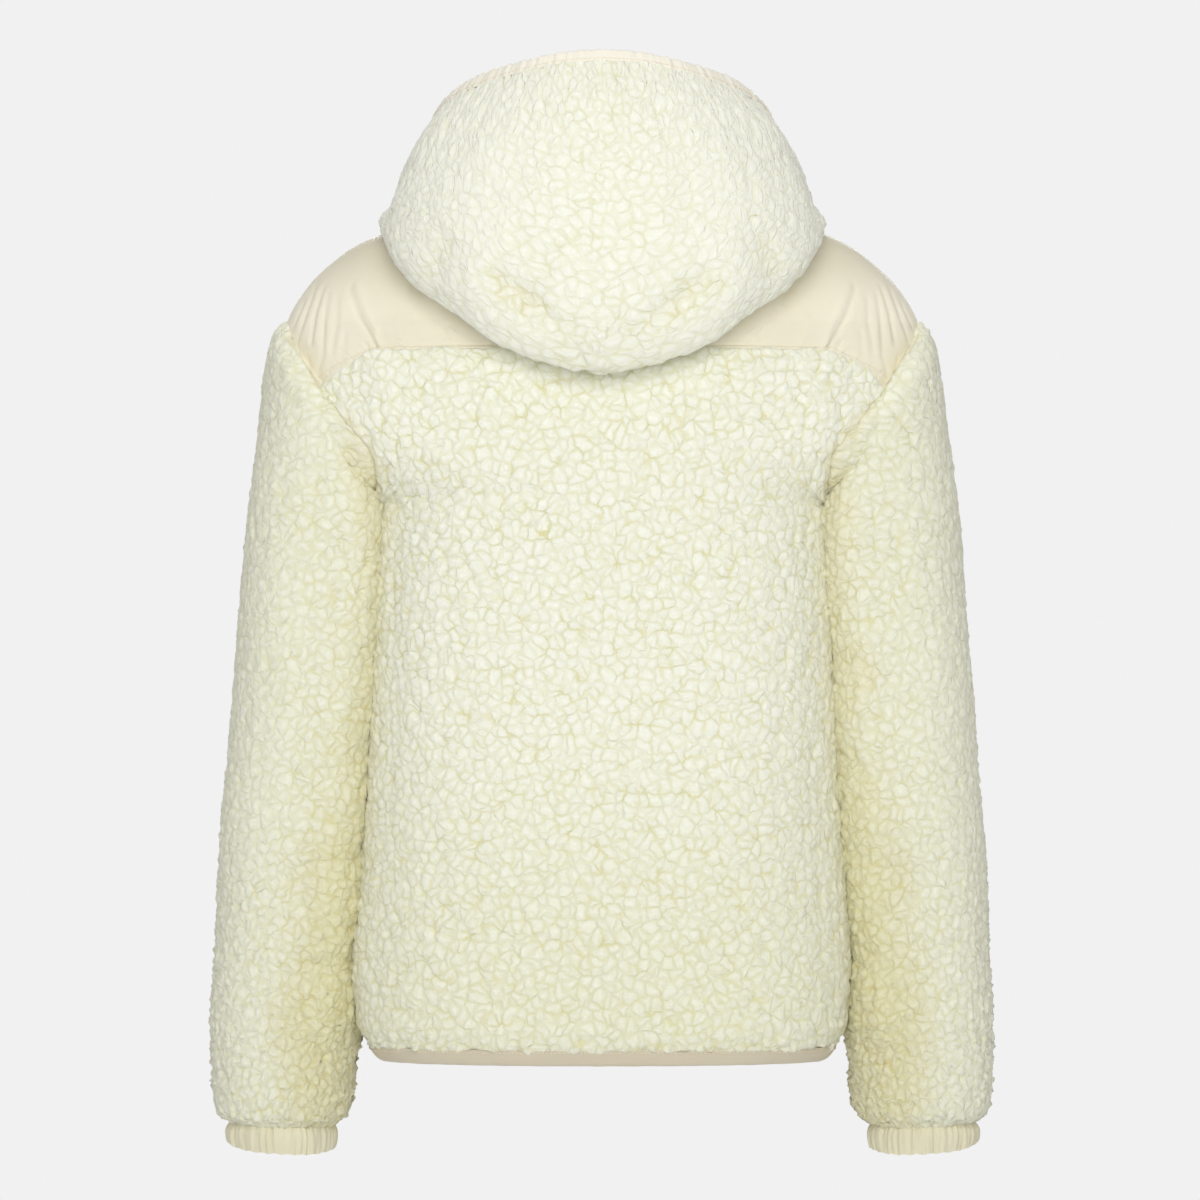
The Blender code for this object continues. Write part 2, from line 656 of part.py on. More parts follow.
def make_tapes():
    path = zip_path()
    along = unit(np.gradient(path, axis=0))
    out = np.stack([-along[:, 1], along[:, 0]], -1)
    out *= -np.sign(out[:, :1])
    x = (SEAM_GAP / 2, ZIP_HALF - SEAM_GAP * 1.4)
    outer, inner = strip(path + out * TAPE, x), strip(path, x)
    for word, side in (("left", 1), ("right", -1)):
        wall("zip_tape_" + word, outer * (side, 1, 1), inner * (side, 1, 1), (BEIGE, 0.7))


def block(size, centre):
    """Corners and faces of a box, centre and size given."""
    corners = np.array([(x, y, z) for x in (-1, 1) for y in (-1, 1) for z in (-1, 1)], float)
    points = corners * np.array(size) / 2 + centre
    faces = [(0, 1, 3, 2), (4, 6, 7, 5), (0, 4, 5, 1), (2, 3, 7, 6), (0, 2, 6, 4), (1, 5, 7, 3)]
    return points, faces


def box_object(name, size, centre, look):
    points, faces = block(size, centre)
    return solid(name, points, faces, look, smooth=False)


def join(target, others):
    """Fuse small solids into one body."""
    for other in others:
        fuse = target.modifiers.new("fuse", "BOOLEAN")
        fuse.operation = "UNION"
        fuse.object = other
        other.hide_render = True
        other.display_type = "WIRE"


def rod(name, radius, length, centre, look, sides=12, hole=0.0):
    """Round bar along X, or a ring of that width when it has a hole."""
    turn = np.arange(sides) * 2 * math.pi / sides
    ring = np.stack([np.cos(turn), np.sin(turn)], -1)
    points = []
    for x in (-length / 2, length / 2):
        for r in ((radius, hole) if hole else (radius,)):
            points += [(x, *(pair * r)) for pair in ring]
    points = np.array(points) + centre
    faces = []
    if hole:
        a, b, c, d = 0, sides, 2 * sides, 3 * sides
        for i in range(sides):
            j = (i + 1) % sides
            faces += [(a + i, a + j, c + j, c + i), (b + j, b + i, d + i, d + j),
                      (a + j, a + i, b + i, b + j), (c + i, c + j, d + j, d + i)]
    else:
        for i in range(sides):
            j = (i + 1) % sides
            faces.append((i, j, sides + j, sides + i))
        faces += [tuple(range(sides))[::-1], tuple(range(sides, 2 * sides))]
    return solid(name, points, faces, look, smooth=False)


def make_slider():
    """Slider at the top of the closed zip, and the pull tab that hangs on its pin."""
    steel = (STEEL, 0.35, 1.0)
    face = zip_depth(SLIDER_Z - SLIDER[2] / 2) - TAPE
    face = min(face, zip_depth(SLIDER_Z + SLIDER[2] / 2) - TAPE)
    middle = face - SEAM_GAP * 1.5 - SLIDER[1] / 2
    slider = box_object("zip_slider", SLIDER, (0, middle, SLIDER_Z), steel)
    bevel = slider.modifiers.new("bevel", "BEVEL")
    bevel.width = 0.8 * MM
    bevel.segments = 1
    pin_y = middle - SLIDER[1] / 2 - EAR[1] * PIN_HEIGHT
    extras = []
    for sign in (-1, 1):
        ear_centre = (sign * EAR_SPREAD, middle - SLIDER[1] / 2 - EAR[1] / 2 + EAR_ROOT / 2, SLIDER_Z)
        extras.append(box_object("ear", (EAR[0], EAR[1] + EAR_ROOT, EAR[2]), ear_centre, steel))
    extras.append(rod("pin", PIN_RADIUS, EAR_SPREAD * 2 + PIN_ROOT, (0, pin_y, SLIDER_Z), steel))
    join(slider, extras)
    eye_width = 2 * EAR_SPREAD - EAR[0] - 2 * TAB_PLAY
    pull = rod("zip_pull", EYE_RADIUS + EYE_WALL, eye_width, (0, pin_y, SLIDER_Z), steel, 14, EYE_RADIUS)
    top = SLIDER_Z - EYE_RADIUS - EYE_WALL * 0.5
    neck_height = TAB_HEAD + PLATE_LAP
    neck = box_object("neck", (eye_width, TAB[1], neck_height), (0, pin_y, top - neck_height / 2), steel)
    plate = box_object("plate", TAB, (0, pin_y, top - TAB_HEAD - TAB[2] / 2), steel)
    join(pull, [neck, plate])


for old in list(bpy.data.objects):
    bpy.data.objects.remove(old)
make_body()
make_hem()
make_sleeves()
make_cuffs()
make_hood()
make_binding()
make_tapes()
make_slider()
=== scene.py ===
import json
import math

import bpy
import numpy as np
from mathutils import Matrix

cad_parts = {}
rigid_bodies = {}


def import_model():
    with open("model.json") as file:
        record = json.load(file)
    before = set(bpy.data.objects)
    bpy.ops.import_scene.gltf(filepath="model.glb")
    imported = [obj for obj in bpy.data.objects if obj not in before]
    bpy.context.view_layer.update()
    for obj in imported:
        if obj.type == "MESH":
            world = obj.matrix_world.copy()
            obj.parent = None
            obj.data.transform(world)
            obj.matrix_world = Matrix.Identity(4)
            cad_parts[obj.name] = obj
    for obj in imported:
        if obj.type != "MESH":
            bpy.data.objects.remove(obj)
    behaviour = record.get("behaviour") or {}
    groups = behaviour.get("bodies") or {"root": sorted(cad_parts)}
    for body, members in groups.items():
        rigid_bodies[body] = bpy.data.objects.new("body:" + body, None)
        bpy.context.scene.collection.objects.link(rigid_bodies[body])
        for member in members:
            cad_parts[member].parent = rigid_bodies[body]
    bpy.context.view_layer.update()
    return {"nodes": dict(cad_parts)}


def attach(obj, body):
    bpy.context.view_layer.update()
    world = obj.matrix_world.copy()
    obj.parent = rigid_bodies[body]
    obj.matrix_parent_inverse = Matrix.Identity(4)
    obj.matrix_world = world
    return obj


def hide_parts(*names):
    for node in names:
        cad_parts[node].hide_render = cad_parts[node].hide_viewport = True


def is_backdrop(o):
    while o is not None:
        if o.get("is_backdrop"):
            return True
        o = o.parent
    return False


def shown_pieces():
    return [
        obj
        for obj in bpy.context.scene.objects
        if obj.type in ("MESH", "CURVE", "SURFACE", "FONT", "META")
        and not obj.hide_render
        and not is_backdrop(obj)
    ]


for old in list(bpy.data.objects):
    bpy.data.objects.remove(old)
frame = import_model()
jacket = "jacket"
mm = 0.001
print("frame loaded:", len(frame["nodes"]), "nodes")


def tableOf(columns, *rows):
    return dict(zip(columns.split(), np.array(rows, float).T))


def curve(knots, values):
    # smooth curve through the given values, straight past neither end
    knots, values = np.asarray(knots, float), np.asarray(values, float)
    if knots[0] > knots[-1]:
        knots, values = knots[::-1], values[::-1]
    step = np.diff(knots)
    shape = (-1,) + (1,) * (values.ndim - 1)
    wide = step.reshape(shape)
    secant = np.diff(values, axis=0) / wide
    rate = np.empty_like(values)
    rate[0], rate[-1] = secant[0], secant[-1]
    rate[1:-1] = (secant[:-1] * wide[1:] + secant[1:] * wide[:-1]) / (wide[1:] + wide[:-1])

    def at(x):
        x = np.clip(x, knots[0], knots[-1])
        i = np.clip(np.searchsorted(knots, x, side="right") - 1, 0, len(step) - 1)
        t = (x - knots[i]) / step[i]
        h = step[i]
        if values.ndim > 1:
            t, h = t.reshape(shape), h.reshape(shape)
        return (values[i] * (1 + 2 * t) * (1 - t) ** 2 + rate[i] * h * t * (1 - t) ** 2
                + values[i + 1] * t ** 2 * (3 - 2 * t) - rate[i + 1] * h * t ** 2 * (1 - t))

    return at


def unit(v):
    return v / np.maximum(np.linalg.norm(v, axis=-1, keepdims=True), 1e-9)


def smoothStep(x):
    x = np.clip(x, 0, 1)
    return x * x * (3 - 2 * x)


def fade(x, start, over):
    # 0 up to start, then smoothly up to 1; it runs the other way where over is negative
    return smoothStep((x - start) / over)


def bell(x, middle, width):
    return np.exp(-((x - middle) / width) ** 2)


def softNoise(p, size, seed, waves=9):
    # smooth uneven field between about -1 and 1, with lumps of about the given size
    rng = np.random.default_rng(seed)
    total = np.zeros(p.shape[:-1])
    for _ in range(waves):
        direction = rng.normal(size=3)
        direction *= rng.uniform(0.6, 1.5) * math.pi / (size * np.linalg.norm(direction))
        total += np.sin(p @ direction + rng.uniform(0, 2 * math.pi))
    return total / math.sqrt(waves) * 0.9


def runLength(p, axis):
    # distance along the rows or columns of a grid from its first one
    step = np.linalg.norm(np.diff(p, axis=axis), axis=-1)
    start = np.zeros_like(np.take(step, [0], axis=axis))
    return np.concatenate([start, np.cumsum(step, axis=axis)], axis=axis)


def gridNormals(p, tube=False):
    across = np.roll(p, -1, 1) - np.roll(p, 1, 1) if tube else np.gradient(p, axis=1)
    return unit(np.cross(across, np.gradient(p, axis=0)))


# the body's form and its seams are in millimetres
cloth = {
    "sherpa": 8.0,
    "backing": 4.4,       # the pile stands on this much of the sherpa
    "nylon": 1.5,
    "binding": 4.5,
    "tape": 1.5,
    "seamGap": 0.3,
    "edgePile": 6.8,
    "pileRound": 7.0,
    "panelReach": 240.0,
    "sideRound": 0.4,
    "armpitFill": 30.0,
    "sleeveRound": 1.3,
    "sidePress": 7.0,     # body and sleeve swell till their piles touch
    "sleevePress": 7.8,
    "hemCorner": 4.0,
    "armpitPuff": 4.0,
    "zipHalf": 7.0,
    "hoodClearance": 2.1,
}
level = {
    "shoulder": -89.0,
    "armCorner": -139.5,
    "underarm": -215.0,
    "yoke": -112.0,
    "yokeKink": 0.60,
    "hem": -616.0,
    "hemDrop": 0.5,
    "band": 13.0,
    "neckBack": -3.0,
}
bodyForm = tableOf(
    "z width back front square",
    (0, 75, 60, 50, 2.0),
    (-5, 100, 63, 54, 2.0),
    (-10, 122, 66, 58, 2.0),
    (-18, 149, 71, 63, 2.0),
    (-26, 170, 76, 68, 2.0),
    (-33, 184, 80, 72, 2.05),
    (-41, 195, 84, 77, 2.05),
    (-55, 211, 91, 84, 2.1),
    (-70, 223, 98, 92, 2.15),
    (-89, 232.5, 105, 99, 2.2),
    (-112, 234.4, 111, 106, 2.3),
    (-139.5, 232, 116, 112, 2.4),
    (-163, 226, 119, 115, 2.5),
    (-181, 200, 121, 117, 2.65),
    (-203, 167, 122, 118, 2.65),
    (-215, 156, 122.5, 118.5, 2.65),
    (-240, 156.2, 123, 119, 2.65),
    (-292, 157, 123, 119, 2.65),
    (-366, 160, 123, 119, 2.65),
    (-440, 163, 123, 119, 2.65),
    (-514, 166.5, 123, 119, 2.65),
    (-551, 170, 123, 119, 2.65),
    (-588, 173, 123, 119, 2.65),
    (-605, 173.5, 122, 118, 2.65),
    (-620, 169, 117.5, 113.5, 2.65),
    (-636, 157, 112, 108, 2.65),
)
armholeForm = tableOf(
    "z width",
    (-89, 232.5), (-107, 223.5), (-122, 214.5), (-139.5, 203),
    (-163, 183), (-181, 166.5), (-203, 158), (-215, 156),
)
frontNeckForm = tableOf(
    "share z",
    (0, -38), (0.15, -23), (0.3, -12), (0.5, -3.5), (0.75, -0.8), (1, 0),
)

bodyWidth = curve(bodyForm["z"], bodyForm["width"])
bodyBack = curve(bodyForm["z"], bodyForm["back"])
bodyFront = curve(bodyForm["z"], bodyForm["front"])
bodySquare = curve(bodyForm["z"], bodyForm["square"])
armholeWidth = curve(armholeForm["z"], armholeForm["width"])
frontNeck = curve(frontNeckForm["share"], frontNeckForm["z"])


def gauge(p):
    # 1 on the form, less inside it
    x, y, z = p[..., 0], p[..., 1], p[..., 2]
    depth = np.where(y > 0, bodyBack(z), bodyFront(z))
    n = bodySquare(z)
    return ((np.abs(x) / bodyWidth(z)) ** n + (np.abs(y) / depth) ** n) ** (1 / n)


def gaugeSlope(p, step=0.05):
    moves = np.eye(3) * step
    return np.stack([(gauge(p + m) - gauge(p - m)) / (2 * step) for m in moves], -1)


def sideTurn(z):
    openArm = (z < level["shoulder"]) & (z > level["underarm"])
    reach = np.clip(armholeWidth(z) / bodyWidth(z), 0, 1) ** (bodySquare(z) / 2)
    return math.pi / 2 - np.where(openArm, np.arccos(reach), 0)


def centreStart(z):
    return np.arcsin((cloth["zipHalf"] / bodyWidth(z)) ** (bodySquare(z) / 2)) / sideTurn(z)


def formPoint(z, share, face):
    # share is 0 in the middle and 1 at the armhole, shoulder or side seam
    width, n = bodyWidth(z), bodySquare(z)
    depth = bodyBack(z) if face > 0 else bodyFront(z)
    angle = math.pi / 2 - np.abs(share) * sideTurn(z)
    x = np.sign(share) * width * np.cos(angle) ** (2 / n)
    y = face * depth * np.abs(np.sin(angle)) ** (2 / n)
    return np.stack([x, y, np.broadcast_to(z, x.shape)], -1)


def yokeSeam(share):
    out = np.clip((np.abs(share) - level["yokeKink"]) / (1 - level["yokeKink"]), 0, 1)
    return level["yoke"] + (level["armCorner"] - level["yoke"]) * out


def neckSeam(share, face):
    share = np.abs(share)
    return frontNeck(share) if face < 0 else level["neckBack"] * (1 - share ** 2)


def hemSeam(share):
    return level["hem"] - level["hemDrop"] * np.abs(share) ** 3


def foldLift(p, folds, face):
    # how far folds raise the cloth: each runs from point to point, and ridge is the swell beside it
    lift = np.zeros(p.shape[:-1])
    for x0, z0, x1, z1, depth, width, ridge in zip(*folds.values()):
        x, z = np.abs(p[..., 0]) - x0, p[..., 2] - z0
        dx, dz = x1 - x0, z1 - z0
        length = math.hypot(dx, dz)
        along = (x * dx + z * dz) / length ** 2
        across = (x * dz - z * dx) / length
        ends = fade(along, -0.15, 0.3) * fade(along, 1.15, -0.3)
        shape = bell(across, 0, width) - ridge * bell(across, 2.2 * width, 1.6 * width)
        lift += depth * shape * ends * (p[..., 1] * face > 0)
    return lift


def roundOff(distances, reach):
    # 0 at each seam, rounded up to 1 at the given reach from it
    high = np.ones(np.broadcast(*distances).shape)
    for d in distances:
        high = np.minimum(high, np.sqrt(1 - (1 - np.clip(d / reach, 0, 1)) ** 2))
    return high


def pileLoft(*distances):
    # share of the full pile that stands so many millimetres away from its seams
    high = roundOff(distances, cloth["pileRound"])
    return (cloth["edgePile"] + (cloth["sherpa"] - cloth["edgePile"]) * high) / cloth["sherpa"]


def pileRise(*distances):
    least = pileSizes["edgeRise"]
    return least + (1 - least) * roundOff(distances, pileSizes["edgeRound"])


def fromZip(z, share, face):
    # the fronts begin beside the zip, the back in its middle
    start = centreStart(z) if face < 0 else 0
    return start + (1 - start) * share


def evenShares(face, z, count):
    # columns that stand the same distance apart at one level
    start = float(centreStart(np.array(z))) if face < 0 else 0.0
    fine = np.linspace(start, 1, 400)
    run = runLength(formPoint(np.full(400, float(z)), fine, face), 0)
    half = (np.interp(np.linspace(0, run[-1], count), run, fine) - start) / (1 - start)
    return half if face < 0 else np.concatenate([-half[:0:-1], half])


def panelGrid(face, shares, top, bottom, down):
    z = top(shares)[None, :] + (bottom(shares) - top(shares))[None, :] * down[:, None]
    p = formPoint(z, fromZip(z, shares[None, :], face), face)
    return z, p, unit(gaugeSlope(p))


def link(name, data):
    made = bpy.data.objects.new(name, data)
    bpy.context.scene.collection.objects.link(made)
    return made


def guideLine(name, points):
    # a bare line of edges for a tree to set small things along
    mesh = bpy.data.meshes.new(name)
    mesh.from_pydata((points * mm).tolist(), [(i, i + 1) for i in range(len(points) - 1)], [])
    return link(name, mesh)


def newObject(name, points, faces, slots=(), uv=None, slotOf=None):
    # points are in millimetres, faces four-sided
    mesh = bpy.data.meshes.new(name)
    mesh.from_pydata((points * mm).tolist(), [], faces.tolist())
    for slot in slots:
        mesh.materials.append(slot)
    if slotOf is not None:
        mesh.polygons.foreach_set("material_index", np.asarray(slotOf, np.int32))
    if uv is not None:
        layer = mesh.uv_layers.new(name="UVMap")
        corner = np.empty(len(mesh.loops), np.int32)
        mesh.loops.foreach_get("vertex_index", corner)
        layer.data.foreach_set("uv", (uv.reshape(-1, 2)[corner] * mm).astype(np.float32).ravel())
    mesh.shade_smooth()
    return link(name, mesh)


def gridFaces(rows, columns, tube, start=0):
    index = np.arange(rows * columns).reshape(rows, columns) + start
    if tube:
        index = np.concatenate([index, index[:, :1]], 1)
    corners = index[:-1, :-1], index[:-1, 1:], index[1:, 1:], index[1:, :-1]
    return np.stack(corners, -1).reshape(-1, 4), index


def surface(name, p, tube, outward, **fields):
    # one open layer for the pile to rise from, with what its node trees read at each point
    faces, _ = gridFaces(*p.shape[:2], tube)
    first = p.reshape(-1, 3)[faces]
    normal = np.cross(first[:, 2] - first[:, 0], first[:, 3] - first[:, 1])
    facing = outward.reshape(-1, 3)[faces[:, 0]]
    if np.sum(normal * facing) < 0:
        faces = faces[:, ::-1]
    made = newObject(name, p.reshape(-1, 3), faces)
    made.data.attributes.new("outward", "FLOAT_VECTOR", "POINT").data.foreach_set(
        "vector", outward.astype(np.float32).ravel())
    for label, values in fields.items():
        kind, slot = ("FLOAT_VECTOR", "vector") if values.ndim > 2 else ("FLOAT", "value")
        layer = made.data.attributes.new(label, kind, "POINT")
        layer.data.foreach_set(slot, values.astype(np.float32).ravel())
    return made


def shell(name, outer, inner, slots, tube=False, uv=None, sharp=50):
    # closed cloth between two layers; the outer layer takes the first slot, the rest the last one
    rows, columns = outer.shape[:2]
    front, index = gridFaces(rows, columns, tube)
    rear, back = gridFaces(rows, columns, tube, rows * columns)
    faces = [front, rear[:, ::-1]]
    for r, turn in ((0, 1), (-1, -1)):
        strip = np.stack([index[r, :-1], back[r, :-1], back[r, 1:], index[r, 1:]], -1)
        faces.append(strip[:, ::turn])
    if not tube:
        for c, turn in ((0, -1), (-1, 1)):
            strip = np.stack([index[:-1, c], back[:-1, c], back[1:, c], index[1:, c]], -1)
            faces.append(strip[:, ::turn])
    faces = np.concatenate(faces)
    points = np.concatenate([outer.reshape(-1, 3), inner.reshape(-1, 3)])
    a, b, c, d = (points[faces[:, i]] for i in range(4))
    if np.sum(a * np.cross(b, c)) + np.sum(a * np.cross(c, d)) < 0:
        faces = faces[:, ::-1]
    if uv is None:
        uv = np.stack([runLength(outer, 1), runLength(outer, 0)], -1)
    slotOf = np.where(np.arange(len(faces)) < len(front), 0, len(slots) - 1)
    made = newObject(name, points, faces, slots, np.concatenate([uv.reshape(-1, 2)] * 2), slotOf)
    made.data.set_sharp_from_angle(angle=math.radians(sharp))
    return made


def flatCut(p):
    # width, length and area, in metres, of the flat cloth that a grid of points was laid out from
    width = runLength(p, 1)[:, -1].max() * mm
    length = runLength(p, 0)[-1].max() * mm
    a, b, c, d = p[:-1, :-1], p[:-1, 1:], p[1:, 1:], p[1:, :-1]
    area = np.linalg.norm(np.cross(c - a, d - b), axis=-1).sum() / 2 * mm * mm
    return (float(width), float(length)), float(min(area, width * length))


def dress(piece, node=None):
    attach(piece, jacket)
    if node:
        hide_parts(node)


def layOut(piece, size, area, held, sewn=()):
    # prints the size of the flat cloth that the piece was cut from; what is sewn to it or stands on
    # it is not used
    extent = "" if area is None else f", {area:.4f} m2"
    print(f"  {piece.name}: cut {size[0] / mm:.0f} x {size[1] / mm:.0f} mm{extent}")


def mirrored(p, side):
    return p * np.array([side, 1, 1])


def feed(tree, socket, value):
    if isinstance(value, bpy.types.NodeSocket):
        tree.links.new(value, socket)
    else:
        socket.default_value = value


def addNode(tree, kind, inputs=None, **settings):
    made = tree.nodes.new(kind)
    for key, value in settings.items():
        setattr(made, key, value)
    for key, value in (inputs or {}).items():
        feed(tree, made.inputs[key], value)
    return made


def maths(tree, operation, *values, **settings):
    inputs = dict(enumerate(values))
    return addNode(tree, "ShaderNodeMath", inputs, operation=operation, **settings).outputs[0]


def vectors(tree, operation, *values):
    inputs = dict(enumerate(values))
    return addNode(tree, "ShaderNodeVectorMath", inputs, operation=operation).outputs[0]


def scaled(tree, vector, amount):
    inputs = {0: vector, "Scale": amount}
    return addNode(tree, "ShaderNodeVectorMath", inputs, operation="SCALE").outputs[0]


def waver(tree, where, scale, detail):
    # noise that leans every way alike
    inputs = {"Vector": where, "Scale": scale, "Detail": detail}
    colour = addNode(tree, "ShaderNodeTexNoise", inputs).outputs["Color"]
    return vectors(tree, "SUBTRACT", colour, (0.5, 0.5, 0.5))


def newTree(name, labels):
    # every input but the geometry and the material is a number
    tree = bpy.data.node_groups.new(name, "GeometryNodeTree")
    for label in ("Geometry", *labels, "Material"):
        kind = label if label in ("Geometry", "Material") else "Float"
        tree.interface.new_socket(label, in_out="INPUT", socket_type="NodeSocket" + kind)
    tree.interface.new_socket("Geometry", in_out="OUTPUT", socket_type="NodeSocketGeometry")
    return tree, addNode(tree, "NodeGroupInput").outputs


def endTree(tree, geometry, slot):
    painted = addNode(tree, "GeometryNodeSetMaterial", {"Geometry": geometry, "Material": slot})
    addNode(tree, "NodeGroupOutput", {0: painted.outputs[0]})


def growOn(base, tree, values, name):
    # runs the tree on a base mesh and keeps the result as a plain mesh
    modifier = base.modifiers.new(tree.name, "NODES")
    modifier.node_group = tree
    for item in tree.interface.items_tree:
        if item.in_out == "INPUT" and item.name in values:
            modifier[item.identifier] = values[item.name]
    graph = bpy.context.evaluated_depsgraph_get()
    mesh = bpy.data.meshes.new_from_object(base.evaluated_get(graph), depsgraph=graph)
    base.modifiers.remove(modifier)
    bpy.data.objects.remove(base)
    mesh.name = name
    return link(name, mesh)


def makeRowTree(name, scale, axis, shape, sizes, smooth):
    # one small solid set end to end along a line; scale names the inputs that size it on x, y, z
    tree, given = newTree(name, sorted({"Pitch", *scale}))
    line = addNode(tree, "GeometryNodeMeshToCurve", {0: given["Geometry"]}).outputs[0]
    marks = addNode(tree, "GeometryNodeResampleCurve", {"Curve": line, "Length": given["Pitch"]},
                    mode="LENGTH")
    along = addNode(tree, "GeometryNodeInputTangent").outputs[0]
    turned = addNode(tree, "FunctionNodeAlignRotationToVector", {"Vector": along}, axis=axis)
    solid = addNode(tree, shape, sizes)
    size = addNode(tree, "ShaderNodeCombineXYZ", {i: given[label] for i, label in enumerate(scale)})
    placed = addNode(tree, "GeometryNodeInstanceOnPoints", {
        "Points": marks.outputs[0], "Instance": solid.outputs[0], "Rotation": turned.outputs[0],
        "Scale": size.outputs[0]})
    shown = addNode(tree, "GeometryNodeRealizeInstances", {0: placed.outputs[0]}).outputs[0]
    if smooth:
        shown = addNode(tree, "GeometryNodeSetShadeSmooth", {0: shown}).outputs[0]
    endTree(tree, shown, given["Material"])
    return tree


def srgb(r, g, b):
    # a colour as it is picked on screen, 0 to 255
    part = np.array([r, g, b]) / 255
    return (*np.where(part <= 0.04045, part / 12.92, ((part + 0.055) / 1.055) ** 2.4), 1.0)


def newMaterial(name, roughness, **sockets):
    made = bpy.data.materials.new(name)
    made.use_nodes = True
    shader = made.node_tree.nodes["Principled BSDF"]
    shader.inputs["Roughness"].default_value = roughness
    for label, value in sockets.items():
        shader.inputs[label.replace("_", " ")].default_value = value
    return made, made.node_tree, shader


def blendColour(tree, factor, first, second):
    inputs = {0: factor, 6: first, 7: second}
    return addNode(tree, "ShaderNodeMix", inputs, data_type="RGBA").outputs[2]


def ramp(tree, value, low, high, toLow=0.0, toHigh=1.0):
    inputs = {"Value": value, "From Min": low, "From Max": high, "To Min": toLow, "To Max": toHigh}
    return addNode(tree, "ShaderNodeMapRange", inputs, interpolation_type="SMOOTHSTEP").outputs[0]


def noise(tree, where, scale, detail=2.0, rough=0.5, distortion=0.0):
    inputs = {"Vector": where, "Scale": scale, "Detail": detail, "Roughness": rough,
              "Distortion": distortion}
    return addNode(tree, "ShaderNodeTexNoise", inputs).outputs[0]


def bump(tree, height, distance, strength=1.0, under=None):
    inputs = {"Strength": strength, "Distance": distance, "Height": height}
    if under is not None:
        inputs["Normal"] = under
    return addNode(tree, "ShaderNodeBump", inputs).outputs[0]


sherpaLook = {
    # painted light and shade across each curl: its crown is lighter than its sides
    "litTip": srgb(247, 247, 236),
    "slope": srgb(241, 241, 224),
    # painted shade in the crevices between the curls
    "creviceShade": srgb(221, 217, 165),
    "deepTip": srgb(230, 229, 198),        # painted shade: darker wool low on the sleeves and the body
    "deepSlope": srgb(212, 210, 168),
    # warmer painted crevice shade beside the sleeves and in folds
    "warmCrevice": srgb(211, 199, 138),
    "innerShade": srgb(232, 226, 188),         # painted warm shade where the sleeves' inner side faces the body
    "lump": 0.0150,       # metres across, as are the next four
    "curl": 0.0083,
    "strand": 0.0043,
    "bend": 0.0140,
    "ragged": 0.0022,
    "curlDepth": 0.00035,
    "strandDepth": 0.0002,
    "fibreDepth": 0.0003,
    "lumpShare": 0.35,
    "strandShare": 0.45,  # how strong the strands' lines are beside the curls'
    "leastLine": 0.35,
    "faintest": 0.25,
    "curlPatches": 75,    # scales of the noise that lets the crevices fade here and there
    "strandPatches": 55,
    "flecks": 420,
    "fibres": 1100,
}


def readField(tree, name, output="Fac"):
    return addNode(tree, "ShaderNodeAttribute", attribute_name=name).outputs[output]


def makeSherpa():
    # thin crevices run between the cells that the pile's tree has already raised; their colour is
    # painted shade
    look = sherpaLook
    made, tree, shader = newMaterial("sherpaPile", 0.95, Specular_IOR_Level=0.1,
                                     Sheen_Weight=0.25, Sheen_Roughness=0.6)
    place = readField(tree, "woolPlace", "Vector")
    height, warm, faint, deep = (readField(tree, field) for field in (
        "woolHeight", "warm", "faint", "deep"))
    stray = addNode(tree, "ShaderNodeTexNoise", {"Vector": place, "Scale": 330.0, "Detail": 1.0})
    ragged = vectors(tree, "MULTIPLY_ADD", stray.outputs["Color"], (look["ragged"],) * 3, place)
    curlEdge, strandEdge = (
        addNode(tree, "ShaderNodeTexVoronoi", {"Vector": ragged, "Scale": 1 / look[size]},
                feature="DISTANCE_TO_EDGE", voronoi_dimensions="2D").outputs["Distance"]
        for size in ("curl", "strand"))
    curl, strand = ramp(tree, curlEdge, 0.0, 0.20), ramp(tree, strandEdge, 0.0, 0.28)
    lines = []
    for raised, patches, strong in ((curl, look["curlPatches"], 1.0),
                                    (strand, look["strandPatches"], look["strandShare"])):
        uneven = noise(tree, place, patches, 1.0)
        patch = ramp(tree, uneven, 0.36, 0.60, look["leastLine"] * strong, strong)
        lines.append(maths(tree, "MULTIPLY", maths(tree, "SUBTRACT", 1.0, raised), patch))
    # painted crevice shade, strongest where the pile is low and weaker where the wool is faint
    depth = maths(tree, "MULTIPLY", ramp(tree, height, 0.3, 0.95, 1.0, 0.45),
                  ramp(tree, faint, 0.0, 1.0, 1.0, look["faintest"]))
    shade = maths(tree, "MULTIPLY", maths(tree, "MAXIMUM", *lines), depth)
    # painted light and shade across each curl, lighter at its crown, mixed with random flecks of
    # tone
    flecks = ramp(tree, noise(tree, place, look["flecks"], 2.0, 0.6), 0.35, 0.65, 0.55, 1.0)
    litAndMottled = maths(tree, "MULTIPLY", ramp(tree, curlEdge, 0.02, 0.42), flecks)
    # painted shade low on the body and over the sleeves
    slope = blendColour(tree, deep, look["slope"], look["deepSlope"])
    litTip = blendColour(tree, deep, look["litTip"], look["deepTip"])
    wool = blendColour(tree, litAndMottled, slope, litTip)
    # painted warm shade where the sleeves meet the body, at the armhole seams and in the hood's
    # folds
    wool = blendColour(tree, ramp(tree, warm, 0.0, 1.0, 0.0, 0.5), wool, look["innerShade"])
    creviceShade = blendColour(tree, warm, look["creviceShade"], look["warmCrevice"])
    feed(tree, shader.inputs["Base Color"], blendColour(tree, shade, wool, creviceShade))
    soft = bump(tree, curl, look["curlDepth"], 0.8)
    soft = bump(tree, strand, look["strandDepth"], 0.7, soft)
    fibres = noise(tree, place, look["fibres"], 3.0, 0.65, 0.8)
    feed(tree, shader.inputs["Normal"], bump(tree, fibres, look["fibreDepth"], 0.7, soft))
    return made


